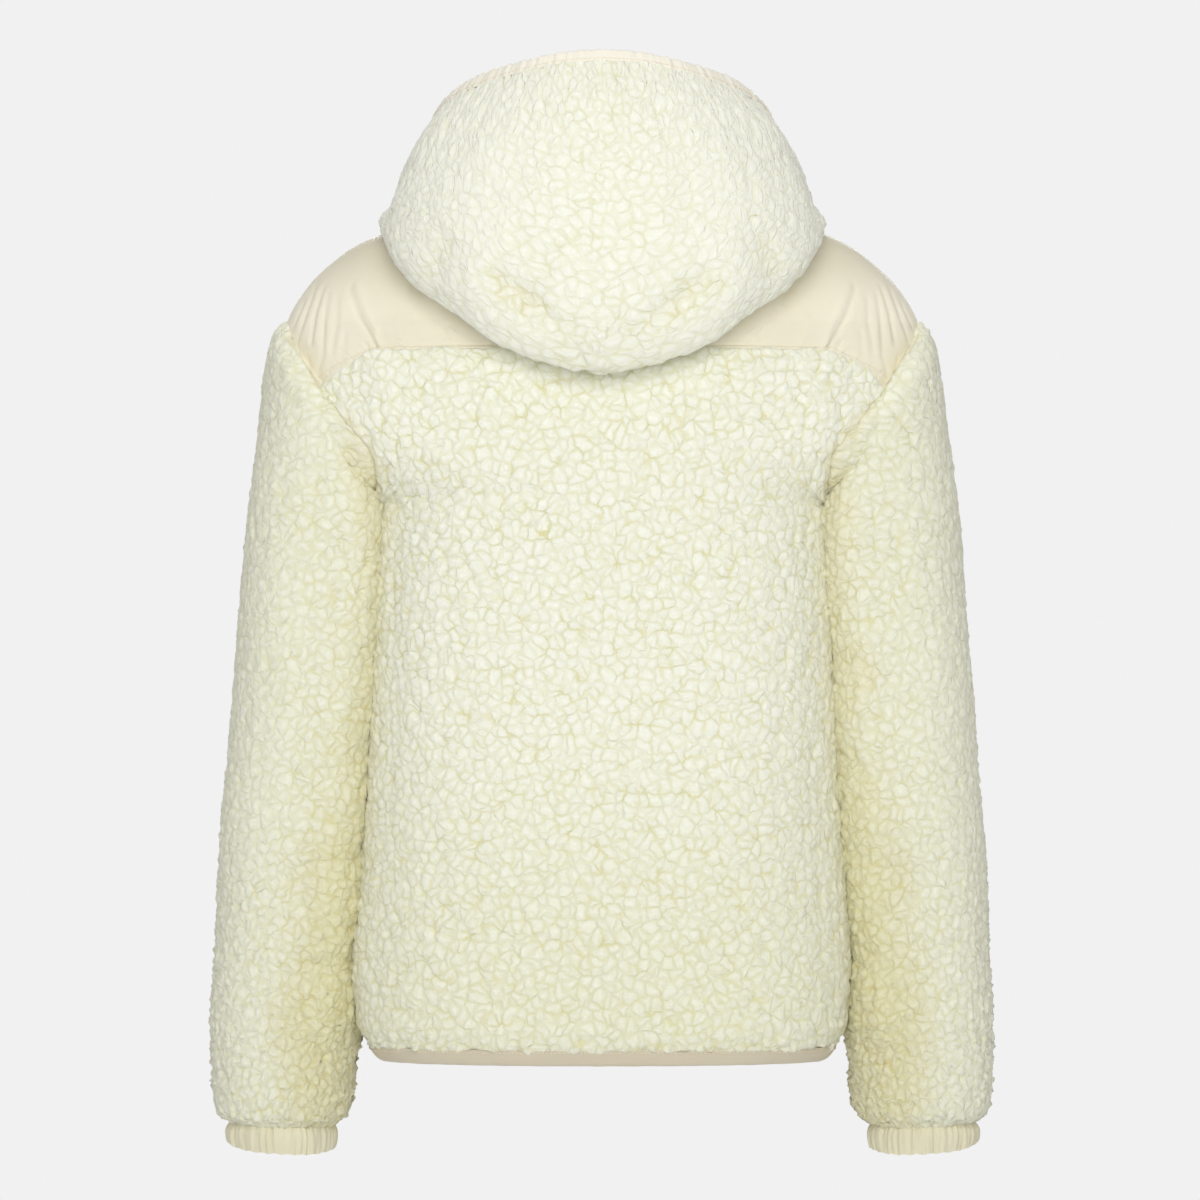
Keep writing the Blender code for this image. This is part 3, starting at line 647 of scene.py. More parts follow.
def makeBacking():
    made, tree, shader = newMaterial("sherpaBacking", 0.95, Specular_IOR_Level=0.1,
                                     Sheen_Weight=0.15)
    place = addNode(tree, "ShaderNodeTexCoord").outputs["Object"]
    patches = noise(tree, place, 90, 3.0)
    wool = blendColour(tree, patches, srgb(224, 218, 166), srgb(236, 231, 190))
    feed(tree, shader.inputs["Base Color"], wool)
    feed(tree, shader.inputs["Normal"], bump(tree, noise(tree, place, 700, 3.0, 0.6), 0.0012))
    return made


def makeLining():
    made, tree, shader = newMaterial("knitLining", 0.85, Specular_IOR_Level=0.2, Sheen_Weight=0.1)
    sheet = addNode(tree, "ShaderNodeUVMap", uv_map="UVMap").outputs[0]
    ribs = addNode(tree, "ShaderNodeTexWave", {
        "Vector": sheet, "Scale": 260.0, "Distortion": 0.6, "Detail": 1.0})
    tint = noise(tree, sheet, 25, 3.0)
    knit = blendColour(tree, tint, srgb(234, 230, 206), srgb(241, 238, 218))
    feed(tree, shader.inputs["Base Color"], knit)
    feed(tree, shader.inputs["Normal"], bump(tree, ribs.outputs["Fac"], 0.00025))
    return made


nylonLook = {
    "cloth": srgb(243, 237, 217),
    "shade": srgb(238, 231, 208),
    "shoulder": srgb(215, 208, 182),      # painted shade, darker towards the top of the shoulders that turn away from the light
    "topLightingFrom": -0.082,
    "topLightingTo": -0.012,
    "weaveScale": 900.0,
    "wrinkle": 0.0006,
}
# the bindings are a darker copy of the nylon, painted shade at the hem; towards the top they turn
# lighter, a painted highlight on the hood's rim
bindingLook = dict(nylonLook, cloth=srgb(212, 202, 180), shade=srgb(202, 192, 168), wrinkle=0.0004,
                   shoulder=srgb(243, 238, 222), topLightingFrom=-0.1, topLightingTo=0.0)
# the cuffs' own yellower tone, darkened as painted shade low on the sleeves
cuffLook = dict(nylonLook, cloth=srgb(230, 225, 198), shade=srgb(220, 213, 183))


def makeNylon(name, look):
    made, tree, shader = newMaterial(name, 0.55, Specular_IOR_Level=0.35, Sheen_Weight=0.12,
                                     Sheen_Roughness=0.4)
    sheet = addNode(tree, "ShaderNodeUVMap", uv_map="UVMap").outputs[0]
    place = addNode(tree, "ShaderNodeTexCoord").outputs["Object"]
    cast = noise(tree, place, 14, 2.0)
    # near the top a painted colour takes over: painted shade on the yoke's shoulders, a painted
    # highlight on the hood's rim binding
    height = addNode(tree, "ShaderNodeSeparateXYZ", {0: place}).outputs[2]
    deeper = ramp(tree, height, look["topLightingFrom"], look["topLightingTo"])
    # the cloth's random tone; on the bindings and the cuffs these colours are also darkened as
    # painted shade
    toneAndShade = blendColour(tree, cast, look["shade"], look["cloth"])
    feed(tree, shader.inputs["Base Color"], blendColour(tree, deeper, toneAndShade, look["shoulder"]))
    weave = addNode(tree, "ShaderNodeTexWave", {"Vector": sheet, "Scale": look["weaveScale"]},
                    bands_direction="DIAGONAL").outputs["Fac"]
    crumple = noise(tree, place, 60, 4.0, 0.55, 0.7)
    feed(tree, shader.inputs["Roughness"], ramp(tree, crumple, 0.3, 0.7, 0.48, 0.62))
    creased = bump(tree, crumple, look["wrinkle"], 0.9)
    feed(tree, shader.inputs["Normal"], bump(tree, weave, 0.00006, 0.5, creased))
    return made


def makePlain(name, colour, roughness, metallic=0.0, grain=400.0, depth=0.0001):
    made, tree, shader = newMaterial(name, roughness, Metallic=metallic)
    place = addNode(tree, "ShaderNodeTexCoord").outputs["Object"]
    grainy = noise(tree, place, grain, 3.0)
    darker = tuple(c * 0.9 for c in colour[:3]) + (1.0,)
    feed(tree, shader.inputs["Base Color"], blendColour(tree, grainy, darker, colour))
    feed(tree, shader.inputs["Normal"], bump(tree, grainy, depth))
    return made


sherpaMat, backingMat, liningMat = makeSherpa(), makeBacking(), makeLining()
nylonMat = makeNylon("nylon", nylonLook)
bindingMat = makeNylon("nylonBinding", bindingLook)
cuffMat = makeNylon("nylonCuff", cuffLook)
threadMat = makePlain("thread", srgb(240, 230, 208), 0.6)
tapeMat = makePlain("zipTape", srgb(228, 216, 190), 0.8, 0.0, 900.0, 0.0002)
teethMat = makePlain("zipTeeth", srgb(232, 222, 196), 0.35)
metalMat = makePlain("paleMetal", srgb(184, 178, 166), 0.38, 1.0, 300.0, 0.00003)
print("materials ready")


pileSizes = {
    "Height": 0.0038,     # the first four are metres, the rest millimetres and shares
    "Sink": 0.0008,
    "Tuft": 0.0030,
    "Stray": 0.0036,
    "tufted": 0.25,
    "fringed": 9.0,       # the wool this near a free edge is the most tufted
    "fringeTuft": 1.7,
    "faintDrop": 0.2,     # how much lower the faintest wool stands
    "spacing": 1.92,      # between the points of the pile's mesh
    "edgeRound": 4.0,
    "edgeRise": 0.8,
    "edgeStray": 0.6,     # how unevenly the pile hangs over its edges
    "edgeWaves": 9.0,
}
pileEdge = tableOf(       # how the pile rolls over each of its edges and sinks into the seam
    "past sink run rise tilt",
    (1.0, 0.2, 1.0, 1.0, 0.35),
    (2.0, 1.2, 2.4, 0.95, 0.9),
    (2.4, 2.6, 4.2, 0.8, 1.4),
    (-0.3, 3.4, 7.0, 0.0, 2.2),
)


def givenField(tree, name, kind="FLOAT"):
    made = addNode(tree, "GeometryNodeInputNamedAttribute", {"Name": name}, data_type=kind)
    return made.outputs[0]


def storeField(tree, geometry, name, value, kind="FLOAT"):
    inputs = {"Geometry": geometry, "Name": name, "Value": value}
    made = addNode(tree, "GeometryNodeStoreNamedAttribute", inputs, data_type=kind, domain="POINT")
    return made.outputs[0]


def makePileTree():
    # lumps of wool rise all over a fine mesh, less near the seams
    tree, given = newTree("sherpa pile", ("Height", "Sink", "Tuft", "Lump", "Curl", "Bend", "Stray",
                                          "Lump Share"))
    place, outward = (givenField(tree, name, "FLOAT_VECTOR") for name in ("flat", "outward"))
    rise, tufted = givenField(tree, "rise"), givenField(tree, "tuft")
    bent = vectors(tree, "ADD", scaled(tree, waver(tree, place, 80.0, 2.0), given["Bend"]), place)
    domes = []
    for size in (given["Lump"], given["Curl"]):
        cells = addNode(tree, "ShaderNodeTexVoronoi", {
            "Vector": bent, "Scale": maths(tree, "DIVIDE", 1.0, size)}, voronoi_dimensions="2D")
        square = maths(tree, "POWER", cells.outputs["Distance"], 2.0)
        domes.append(maths(tree, "SUBTRACT", 1.0, square, use_clamp=True))
    height = addNode(tree, "ShaderNodeMix", {0: given["Lump Share"], 2: domes[1], 3: domes[0]},
                     data_type="FLOAT").outputs[0]
    marked = storeField(tree, given["Geometry"], "woolPlace", bent, "FLOAT_VECTOR")
    marked = storeField(tree, marked, "woolHeight", height)
    points = addNode(tree, "ShaderNodeMapRange", {
        "Value": noise(tree, place, 215.0, 1.0), "From Min": 0.5, "From Max": 0.75}).outputs[0]
    lifted = maths(tree, "MULTIPLY_ADD", maths(tree, "MULTIPLY", points, tufted), given["Tuft"],
                   maths(tree, "MULTIPLY", height, given["Height"]))
    sunk = maths(tree, "SUBTRACT", maths(tree, "MULTIPLY", lifted, rise), given["Sink"])
    strayed = scaled(tree, waver(tree, place, 150.0, 1.0), given["Stray"])
    moved = vectors(tree, "ADD", scaled(tree, outward, sunk), strayed)
    raised = addNode(tree, "GeometryNodeSetPosition", {"Geometry": marked, "Offset": moved})
    real = addNode(tree, "GeometryNodeRealizeInstances", {0: raised.outputs[0]})
    smooth = addNode(tree, "GeometryNodeSetShadeSmooth", {0: real.outputs[0]})
    endTree(tree, smooth.outputs[0], given["Material"])
    return tree


pileTree = makePileTree()


def refine(field, rows, columns, tube):
    # the same field on a finer grid
    down = curve(np.arange(len(field)), field)(np.linspace(0, len(field) - 1, rows))
    turned = down.swapaxes(0, 1)
    if tube:
        turned = np.concatenate([turned[-2:], turned, turned[:3]])
        at = 2 + np.arange(columns) * (len(turned) - 5) / columns
    else:
        at = np.linspace(0, len(turned) - 1, columns)
    return curve(np.arange(len(turned)), turned)(at).swapaxes(0, 1)


def rollOver(place, outward, fields, seed, hang=1.0):
    # rows past both ends of a grid, rolled over its edges
    past, sink, run, fall, tilt = (column.reshape(-1, 1, 1) for column in pileEdge.values())
    ends = {label: [] for label in ("place", "outward", *fields)}
    for edge, inner, turn in ((0, 1, -1), (-1, -2, 1)):
        way = unit(place[edge] - place[inner])
        n = outward[edge]
        uneven = 1 + pileSizes["edgeStray"] * softNoise(place[edge], pileSizes["edgeWaves"], seed)
        reach = past * (hang if edge else 1) * uneven[:, None]
        ends["place"].append((place[edge] + way * reach - n * sink)[::turn])
        ends["outward"].append((n * np.cos(tilt) + way * np.sin(tilt))[::turn])
        for label, field in fields.items():
            if label == "flat":
                more = field[edge] + unit(field[edge] - field[inner]) * run * mm
            else:
                more = field[edge] * (fall[..., 0] if label == "rise" else np.ones((len(past), 1)))
            ends[label].append(more[::turn])
    whole = dict(fields, place=place, outward=outward)
    return {label: np.concatenate([ends[label][0], field, ends[label][1]])
            for label, field in whole.items()}


def layFlat(p, flat, rounds=260, haste=1.4):
    # eases flat coordinates until threads keep their lengths; the last row stays straight
    most, first, last = slice(None), slice(None, -1), slice(1, None)
    links = [((most, first), (most, last)), ((first, most), (last, most)),
             ((first, first), (last, last)), ((first, last), (last, first))]
    lengths = [np.linalg.norm(p[b] - p[a], axis=-1) for a, b in links]
    count = np.zeros(p.shape[:2] + (1,))
    for a, b in links:
        count[a] += 1
        count[b] += 1
    for _ in range(rounds):
        pull = np.zeros_like(flat)
        for (a, b), length in zip(links, lengths):
            gap = flat[b] - flat[a]
            short = 0.5 - 0.5 * length / np.maximum(np.linalg.norm(gap, axis=-1), 1e-6)
            pull[a] += gap * short[..., None]
            pull[b] -= gap * short[..., None]
        flat = flat + haste * pull / count
        flat[-1, :, 1] = 0
    return flat


def flatPlace(place, outer, tube, upright):
    # the cloth's own coordinates, across it and down it, so that the wool's cells keep their shape
    rows, columns = place.shape[:2]
    across, down = runLength(place, 1), place[..., 2]
    if tube:
        run = runLength(place, 0)
        return np.broadcast_to(across.mean(0), (rows, columns)), run[-1:] - run
    if upright:
        # the fronts are measured from the zip, wider pieces from their middle
        wide = (np.abs(place[:, 0, 0]) > 60)[:, None]
        return across - across[:, columns // 2:columns // 2 + 1] * wide, down
    run = runLength(outer, 0)
    fromCentre = np.broadcast_to((run[-1:] - run).mean(1, keepdims=True), run.shape)
    laid = layFlat(outer, np.stack([runLength(outer, 1), fromCentre], -1))
    across, down = refine(laid, rows, columns, False).transpose(2, 0, 1)
    return across, down * np.sign(place[rows // 2, 0, 0])


def sherpaPiece(name, node, base, normals, distances, tube=False, held="hung", fringe=None,
                upright=True, seed=0, hang=1.0, **looks):
    # cloth with its pile: a backing shell, and lumps of wool that rise from it and over its edges;
    # looks are the shares of warm, deep, faint and tuft at each point, the first two being painted
    # shade
    loft = pileLoft(*distances)
    outer = base + normals * (loft * cloth["backing"])[..., None]
    backing = shell(name, outer, base, (backingMat, liningMat), tube)
    grid = np.concatenate([outer, outer[:, :1]], 1) if tube else outer
    rows = int(runLength(grid, 0)[-1].mean() / pileSizes["spacing"])
    columns = int(runLength(grid, 1)[:, -1].mean() / pileSizes["spacing"])
    plain = {"warm": 0.0, "deep": 0.0, "faint": 0.0, "tuft": pileSizes["tufted"]}
    coarse = {label: looks.get(label, usual) + 0 * loft for label, usual in plain.items()}
    if fringe is not None:
        edge = pileSizes["fringeTuft"] * smoothStep(1.2 - fringe / pileSizes["fringed"])
        coarse["tuft"] = np.maximum(coarse["tuft"], edge)
    coarse["rise"] = pileRise(*distances) * loft * (1 - pileSizes["faintDrop"] * coarse["faint"])
    coarse.update(place=outer, outward=normals)
    turn = columns // 2 if tube else 0      # a tube's seam lies on its inner side
    fine = {label: np.roll(refine(field, rows, columns, tube), turn, 1)
            for label, field in coarse.items()}
    across, down = flatPlace(fine["place"], outer, tube, upright)
    fine["flat"] = np.stack([across + 500 * seed, down, np.zeros((rows, columns))], -1) * mm
    grid = rollOver(fine.pop("place"), fine.pop("outward"), fine, seed, hang)
    if not tube:
        grid = {label: field.swapaxes(0, 1) for label, field in grid.items()}
        grid = rollOver(grid.pop("place"), grid.pop("outward"), grid, seed + 1)
        grid = {label: field.swapaxes(0, 1) for label, field in grid.items()}
    bed = surface(name + "Bed", grid.pop("place"), tube, **grid)
    sizes = {label: pileSizes[label] for label in ("Height", "Sink", "Tuft", "Stray")}
    pile = growOn(bed, pileTree, dict(sizes, Material=sherpaMat, **{
        "Lump": sherpaLook["lump"], "Curl": sherpaLook["curl"], "Bend": sherpaLook["bend"],
        "Lump Share": sherpaLook["lumpShare"]}), name + "Pile")
    dress(backing, node)
    dress(pile)
    whole = np.concatenate([base, base[:, :1]], 1) if tube else base
    layOut(backing, *flatCut(whole), held, [pile])


panelSizes = {
    "columns": 27,
    "rows": 44,
    "level": -400,        # where the columns stand evenly
    "sway": 1.3,
    "swaySize": 90.0,
    "pressFrom": 0.68,    # the sides swell from these shares of the half width outwards
    "puffFrom": 0.60,
    "cornerFrom": 0.78,
    "puffTall": 34.0,
    "lowShade": 0.35,      # how much painted shade darkens the wool at the hem
}
panelFolds = tableOf(
    "x0 z0 x1 z1 depth width ridge",
    (160, -112, 160, -190, 2.0, 12.0, 0),
    (176, -126, 172, -200, -1.2, 12.0, 0),
)


def makePanel(name, node, face, side, seed):
    sizes, underarm, hem = panelSizes, level["underarm"], level["hem"]
    shares = evenShares(face, sizes["level"], sizes["columns"])
    z, p, normals = panelGrid(face, shares, yokeSeam, hemSeam, np.linspace(0, 1, sizes["rows"]))
    out = np.abs(shares)[None, :]
    fromYoke, fromHem = np.abs(z - z[:1]), np.abs(z - z[-1:])
    calm = fade(1 - out, 0, 0.05)
    sway = sizes["sway"] * softNoise(p, sizes["swaySize"], seed)
    sway = sway * fade(fromHem, 0, 60) * fade(fromYoke, 0, 40)
    press = fade(out, sizes["pressFrom"], 0.24) * fade(z, underarm + 34, -40) * fade(z, hem, 60)
    puff = fade(out, sizes["puffFrom"], 0.25) * bell(z, underarm - 5, sizes["puffTall"])
    corner = fade(out, sizes["cornerFrom"], 0.2) * fade(z, hem + 13, -15)
    lift = (foldLift(p, panelFolds, face) + sway) * calm + cloth["sidePress"] * press
    lift = lift + 0.5 * cloth["armpitPuff"] * puff - cloth["hemCorner"] * corner
    toArm = (1 - out) * cloth["panelReach"]
    toArm = toArm + np.maximum(underarm + cloth["armpitFill"] - z, 0) * cloth["sideRound"]
    # painted warm shade on the wool beside the sleeves, and painted shade towards the hem
    warm = fade(toArm, 26.4, -24) * fade(z, level["armCorner"], -20)
    sherpaPiece(name, node, mirrored(p + normals * lift[..., None], side), mirrored(normals, side),
                (fromYoke, fromHem, toArm), fringe=fromHem, seed=seed,
                warm=warm, deep=sizes["lowShade"] * fade(z, -350, -250))


makePanel("back", "back_panel", 1, 1, 21)
makePanel("frontLeft", "front_left", -1, 1, 22)
makePanel("frontRight", "front_right", -1, -1, 23)
print("back and fronts made")


stitchSizes = {"Pitch": 0.0031, "Length": 0.0027, "Thickness": 0.00055}
threadForm = {"Segments": 6, "Rings": 4, "Radius": 0.5}
stitchTree = makeRowTree("stitches", ("Length", "Thickness", "Thickness"), "X",
                         "GeometryNodeMeshUVSphere", threadForm, True)


def sewAlong(name, points):
    values = dict(stitchSizes, Material=threadMat)
    made = growOn(guideLine(name + "Line", points), stitchTree, values, name)
    dress(made)
    return made


yokeSizes = {
    "columns": 116,
    "frontColumns": 76,
    "edgeGrip": 8,        # only the columns near the armhole follow its curve
    "fineFrom": 0.42,     # the columns stand closest from this share out to the shoulder
    "lowRows": 40,
    "highRows": 44,
    "foldedEdge": 6.0,    # from the seam to the line of stitches above it
    "edgeLift": 0.7,
    "pucker": 0.5,
    "sway": 0.5,
    "swaySize": 34.0,
}
yokeFolds = tableOf(
    "x0 z0 x1 z1 depth width ridge",
    (210, -59, 216.5, -79, -1.0, 1.5, 0.5),      # pleats that fan out from the shoulder
    (216.5, -79, 223, -98.5, -1.3, 1.5, 0.5),
    (223, -98.5, 224.5, -109, -0.8, 1.3, 0.3),
    (205, -63, 210.5, -83, -1.1, 1.5, 0.6),
    (210.5, -83, 213.5, -105, -1.4, 1.5, 0.5),
    (201, -66, 203.5, -89, -0.8, 1.5, 0.5),
    (203.5, -89, 204.2, -113, -1.2, 1.5, 0.5),
    (204.2, -113, 208, -129, -0.9, 1.4, 0.3),
    (194, -70, 194, -89, -0.6, 1.8, 0.5),
    (194, -89, 197.5, -113, -0.7, 1.8, 0.5),
    (220, -74, 227.5, -92, -0.9, 1.3, 0.5),
    (218, -70, 230, -96, -0.6, 1.2, 0.3),
    (216, -112, 213, -132, -0.6, 1.3, 0.3),
    (188, -96, 190, -118, -0.5, 2.0, 0.4),
    (185.3, -62, 178, -84, -1.3, 2.2, 0.7),      # the deep one that runs to the seam's bend
    (178, -84, 168.2, -101, -1.9, 1.9, 0.8),
    (168.2, -101, 160.8, -116, -2.0, 1.5, 0.7),
    (176, -80, 166.5, -97, -0.9, 1.4, 0.4),
    (173, -104, 165, -119, -0.8, 1.4, 0.4),
    (137, -62, 124.5, -85, -2.2, 4.0, 0.5),      # the hollow beside the hood
    (124.5, -85, 109.5, -104, -2.2, 2.6, 0.6),
    (118, -80, 100, -101, -1.0, 2.4, 0.6),
    (150, -86, 143, -110, 0.7, 5.0, 0),
    (96, -78, 90, -107, -0.8, 2.8, 0.5),
    (60, -80, 58, -108, -0.7, 3.0, 0.5),
    (27, -82, 26, -109, -0.6, 3.0, 0.5),
)


def pucker(share, distance, seed):
    # fine gathers that a row of stitches pulls in, uneven along the seam and dying away from it
    rng = np.random.default_rng(seed)
    turns = share * 230.0 * 2 * math.pi
    wave = np.zeros(np.broadcast(share, distance).shape)
    for length in (3.7, 4.6, 6.1, 8.9, 17.0):
        wave = wave + np.sin(turns / length + rng.uniform(0, 6.28)) * rng.uniform(0.5, 1)
    patchy = 0.5 + 0.5 * np.sin(turns / 61 + rng.uniform(0, 6.28))
    return wave / 2 * (0.35 + 0.65 * patchy) * np.exp(-distance / 9.0)


def yokeGrid(shares, face):
    # rows from the seam up to the shoulder, and on over it to the neck
    sizes, shoulder, square = yokeSizes, level["shoulder"], math.pi / 2
    fall = ((1 - np.linspace(0, 1, sizes["lowRows"])) ** 1.3)[:, None]
    seam, eased = yokeSeam(shares), smoothStep(fall)
    z = shoulder + (seam - shoulder) * fall
    out = fromZip(z, np.abs(shares), face)
    edge = square + (sideTurn(np.array(level["armCorner"])) - square) * eased
    turn = out * (square + (sideTurn(seam) - square) * eased)
    turn = turn + out ** sizes["edgeGrip"] * (sideTurn(z) - edge)
    lower = formPoint(z, np.sign(shares + 1e-12) * turn / sideTurn(z), face)
    fine = np.linspace(shoulder, 0, 600)
    run = runLength(formPoint(fine, np.full(600, 0.86), 1), 0)
    even = np.linspace(0, 1, sizes["highRows"])
    rise = np.interp(run[-1] * (0.45 * even + 0.55 * even ** 2.5), run, fine)[1:, None]
    z = shoulder + (neckSeam(shares, face) - shoulder) * (1 - rise / shoulder)
    upper = formPoint(z, fromZip(z, shares[None, :], face), face)
    return np.concatenate([lower, upper])


def makeYoke(name, node, face, side, seed):
    sizes = yokeSizes
    shares = evenShares(face, -110, sizes["columns"] if face > 0 else sizes["frontColumns"])
    if face > 0:
        spread = np.interp(np.abs(shares), (0, 0.16, 1), (0, sizes["fineFrom"], 1))
        shares = np.sign(shares) * spread
    base = yokeGrid(shares, face)
    normals = unit(gaugeSlope(base))
    up = runLength(base, 0)
    calm = fade(1 - np.abs(shares), 0, 0.04)[None, :]
    folded = fade(up, sizes["foldedEdge"], -1.2)
    groove = bell(up, sizes["foldedEdge"], 1.1)
    gathered = pucker(shares[None, :], np.abs(up - sizes["foldedEdge"]), seed)
    sway = softNoise(base, sizes["swaySize"], seed) * fade(up, 0, 14)
    lift = foldLift(base, yokeFolds, face) * (1 - 0.55 * folded)
    lift = (lift + sizes["pucker"] * gathered + sizes["sway"] * sway) * calm
    lift = lift + sizes["edgeLift"] * (folded - 0.8 * groove)
    top = base + normals * (cloth["nylon"] + lift)[..., None]
    under = base + normals * np.minimum(lift, 0)[..., None]
    yoke = shell(name, mirrored(top, side), mirrored(under, side), (nylonMat, liningMat))
    dress(yoke, node)
    row = int(np.argmin(np.abs(up.mean(1) - sizes["foldedEdge"])))
    stitches = sewAlong(name + "Stitches", mirrored(top + normals * 0.12, side)[row])
    layOut(yoke, *flatCut(base), "stretched", [stitches])


makeYoke("yokeBack", "yoke_back", 1, 1, 31)
makeYoke("yokeFrontLeft", "yoke_front_left", -1, 1, 32)
makeYoke("yokeFrontRight", "yoke_front_right", -1, -1, 33)
print("yoke made")


sleeveForm = tableOf(
    "outerX outerZ innerX innerZ depth middle square",
    (239.5, -104, 165, -219, 80, -2, 2.3),
    (243.5, -130, 165.5, -231, 80, -3, 2.45),
    (248, -165, 167, -252, 78, -4, 2.5),
    (255, -215, 170, -284, 76, -6, 2.5),
    (261, -280, 174, -325, 74, -8.5, 2.45),
    (267, -352, 178, -382, 71, -11, 2.4),
    (274, -430, 181, -446, 68, -13.5, 2.3),
    (279, -505, 185, -512, 65, -16, 2.3),
    (281, -560, 188.5, -564, 62, -18, 2.3),
    (282, -610, 190, -612, 59, -20, 2.3),
    (281.5, -642, 191, -642, 56, -21, 2.25),
    (281.5, -657, 191.5, -657, 53, -21, 2.2),
    (279, -669, 195, -669, 49, -21, 2.15),
    (272, -678.5, 201.5, -678.5, 43, -21, 2.1),
)
sleeveSizes = {
    "columns": 40,
    "step": 10.0,
    "sway": 1.5,
    "swaySize": 70.0,
    "inner": 2.2,         # how sharply the inner side begins
    "puffTall": 26.0,
    "patchSize": 40.0,
    # strengths of painted shade: warm at the armhole seam, and darker over the whole sleeve at the
    # least
    "seamShade": 0.6,
    "leastShade": 0.3,
    "moreTufts": 0.75,    # the wool is more tufted low on the sleeve
    "faint": 0.7,
    "hang": 1.9,          # how far the pile hangs over the cuff
}
sleeveFolds = tableOf(       # turn round the sleeve from its outer line towards the back, and level
    "turn0 z0 turn1 z1 depth width",
    (150, -405, 60, -440, -2.2, 11.0),
    (165, -470, 80, -500, -2.4, 11.0),
    (170, -545, 75, -572, -2.6, 11.0),
    (150, -330, 95, -352, -1.8, 12.0),
    (210, -420, 300, -455, -2.0, 12.0),
    (205, -520, 290, -552, -2.2, 12.0),
    (165, -612, 95, -630, -2.0, 9.0),
)


def armholeLoop(turns):
    # the armhole's edge at each turn: from the shoulder down the back and up the front
    fall = (1 - np.cos(turns)) / 2
    z = level["shoulder"] + (level["underarm"] - level["shoulder"]) * fall
    inside = np.clip(z, level["underarm"] + 1e-6, level["shoulder"] - 1e-6)
    back, front = (formPoint(inside, np.ones(len(turns)), face) for face in (1, -1))
    return np.where((turns <= math.pi)[:, None], back, front)


def sleeveRings(turns):
    cos, sin = np.cos(turns), np.sin(turns)
    rings = []
    for outerX, outerZ, innerX, innerZ, depth, middle, square in zip(*sleeveForm.values()):
        along = np.sign(cos) * np.abs(cos) ** (2 / square)
        across = np.sign(sin) * np.abs(sin) ** (2 / square)
        x = (outerX + innerX) / 2 + (outerX - innerX) / 2 * along
        z = (outerZ + innerZ) / 2 + (outerZ - innerZ) / 2 * along
        rings.append(np.stack([x, middle + depth * across, z], -1))
    return np.array(rings)


def sleeveLift(turns, p):
    lift = np.zeros(p.shape[:2])
    for turn0, z0, turn1, z1, depth, width in zip(*sleeveFolds.values()):
        share = np.clip((np.degrees(turns) - turn0) / (turn1 - turn0), -0.3, 1.3)[None, :]
        ends = fade(share, -0.3, 0.6) * fade(share, 1.3, -0.6)
        lift += depth * ends * bell(p[..., 2], z0 + (z1 - z0) * share, width)
    return lift


def sleeveGrid(turns):
    # rings from the armhole's edge down to the cuff, with their outward normals
    loop = armholeLoop(turns)
    key = np.concatenate([loop[None], sleeveRings(turns)])
    key[0] += unit(key[1] - key[0]) * 0.2
    run = runLength(key, 0).mean(1)
    p = curve(run, key)(np.linspace(0, run[-1], int(run[-1] / sleeveSizes["step"])))
    normals = gridNormals(p, tube=True)
    middle = len(p) // 2
    if np.mean(np.sum(normals[middle] * (p[middle] - p[middle].mean(0)), -1)) < 0:
        normals = -normals
    normals[0] = unit(gaugeSlope(loop))
    normals[-1] = unit(normals[-1] * (1, 1, 0))
    return p, normals


def makeSleeve(name, node, side, seed):
    sizes, hem = sleeveSizes, level["hem"]
    turns = np.arange(sizes["columns"]) * 2 * math.pi / sizes["columns"]
    inward = -np.cos(turns)                   # 1 where the sleeve faces the body
    p, normals = sleeveGrid(turns)
    z, down = p[..., 2], runLength(p, 0)
    toCuff = down[-1:] - down
    calm = fade(down, 0, 60) * fade(toCuff, 0, 30)
    facing = smoothStep(inward * sizes["inner"] - 0.2)
    lift = sleeveLift(turns, p) + sizes["sway"] * softNoise(p, sizes["swaySize"], seed)
    press = cloth["sleevePress"] * fade(down, 30, 60) * fade(z, hem - 25, 50)
    puff = cloth["armpitPuff"] * bell(z, level["underarm"] - 10, sizes["puffTall"])
    puff = puff * fade(down, 0, 12)
    p = p + normals * (lift * calm + (press + puff) * facing)[..., None]
    z, under = p[..., 2], smoothStep(inward)
    toArm = down * (1 + (cloth["sleeveRound"] - 1) * under) + 10 * fade(under, 2 / 3, 1 / 3)
    patchy = 0.3 * softNoise(p, sizes["patchSize"], seed + 5)
    # painted warm shade near the armhole seam and where the sleeve faces the body low down, which
    # is also darker
    seamShade = sizes["seamShade"] * fade(down, 12, -12) * fade(z, level["armCorner"], -20)
    low = fade(z, -250, -350) * fade(z, hem - 120, 90)
    innerShade = fade(0.45 * low + inward + 0.3 * patchy, 0.1, 0.9)
    inner = low * innerShade
    warm = np.maximum(smoothStep(inward * 1.7 - 0.35 + patchy), np.maximum(seamShade, inner))
    sherpaPiece(name, node, mirrored(p, side), mirrored(normals, side), (toArm, 2.2 * toCuff),
                tube=True, fringe=toCuff, seed=seed, hang=sizes["hang"], warm=warm,
                deep=sizes["leastShade"] + (1 - sizes["leastShade"]) * inner,
                tuft=pileSizes["tufted"] + sizes["moreTufts"] * fade(z, -380, -260),
                faint=sizes["faint"] * smoothStep(0.5 - 0.7 * inward + patchy) * (1 - innerShade))


makeSleeve("sleeveLeft", "sleeve_left", 1, 41)
makeSleeve("sleeveRight", "sleeve_right", -1, 42)
print("sleeves made")


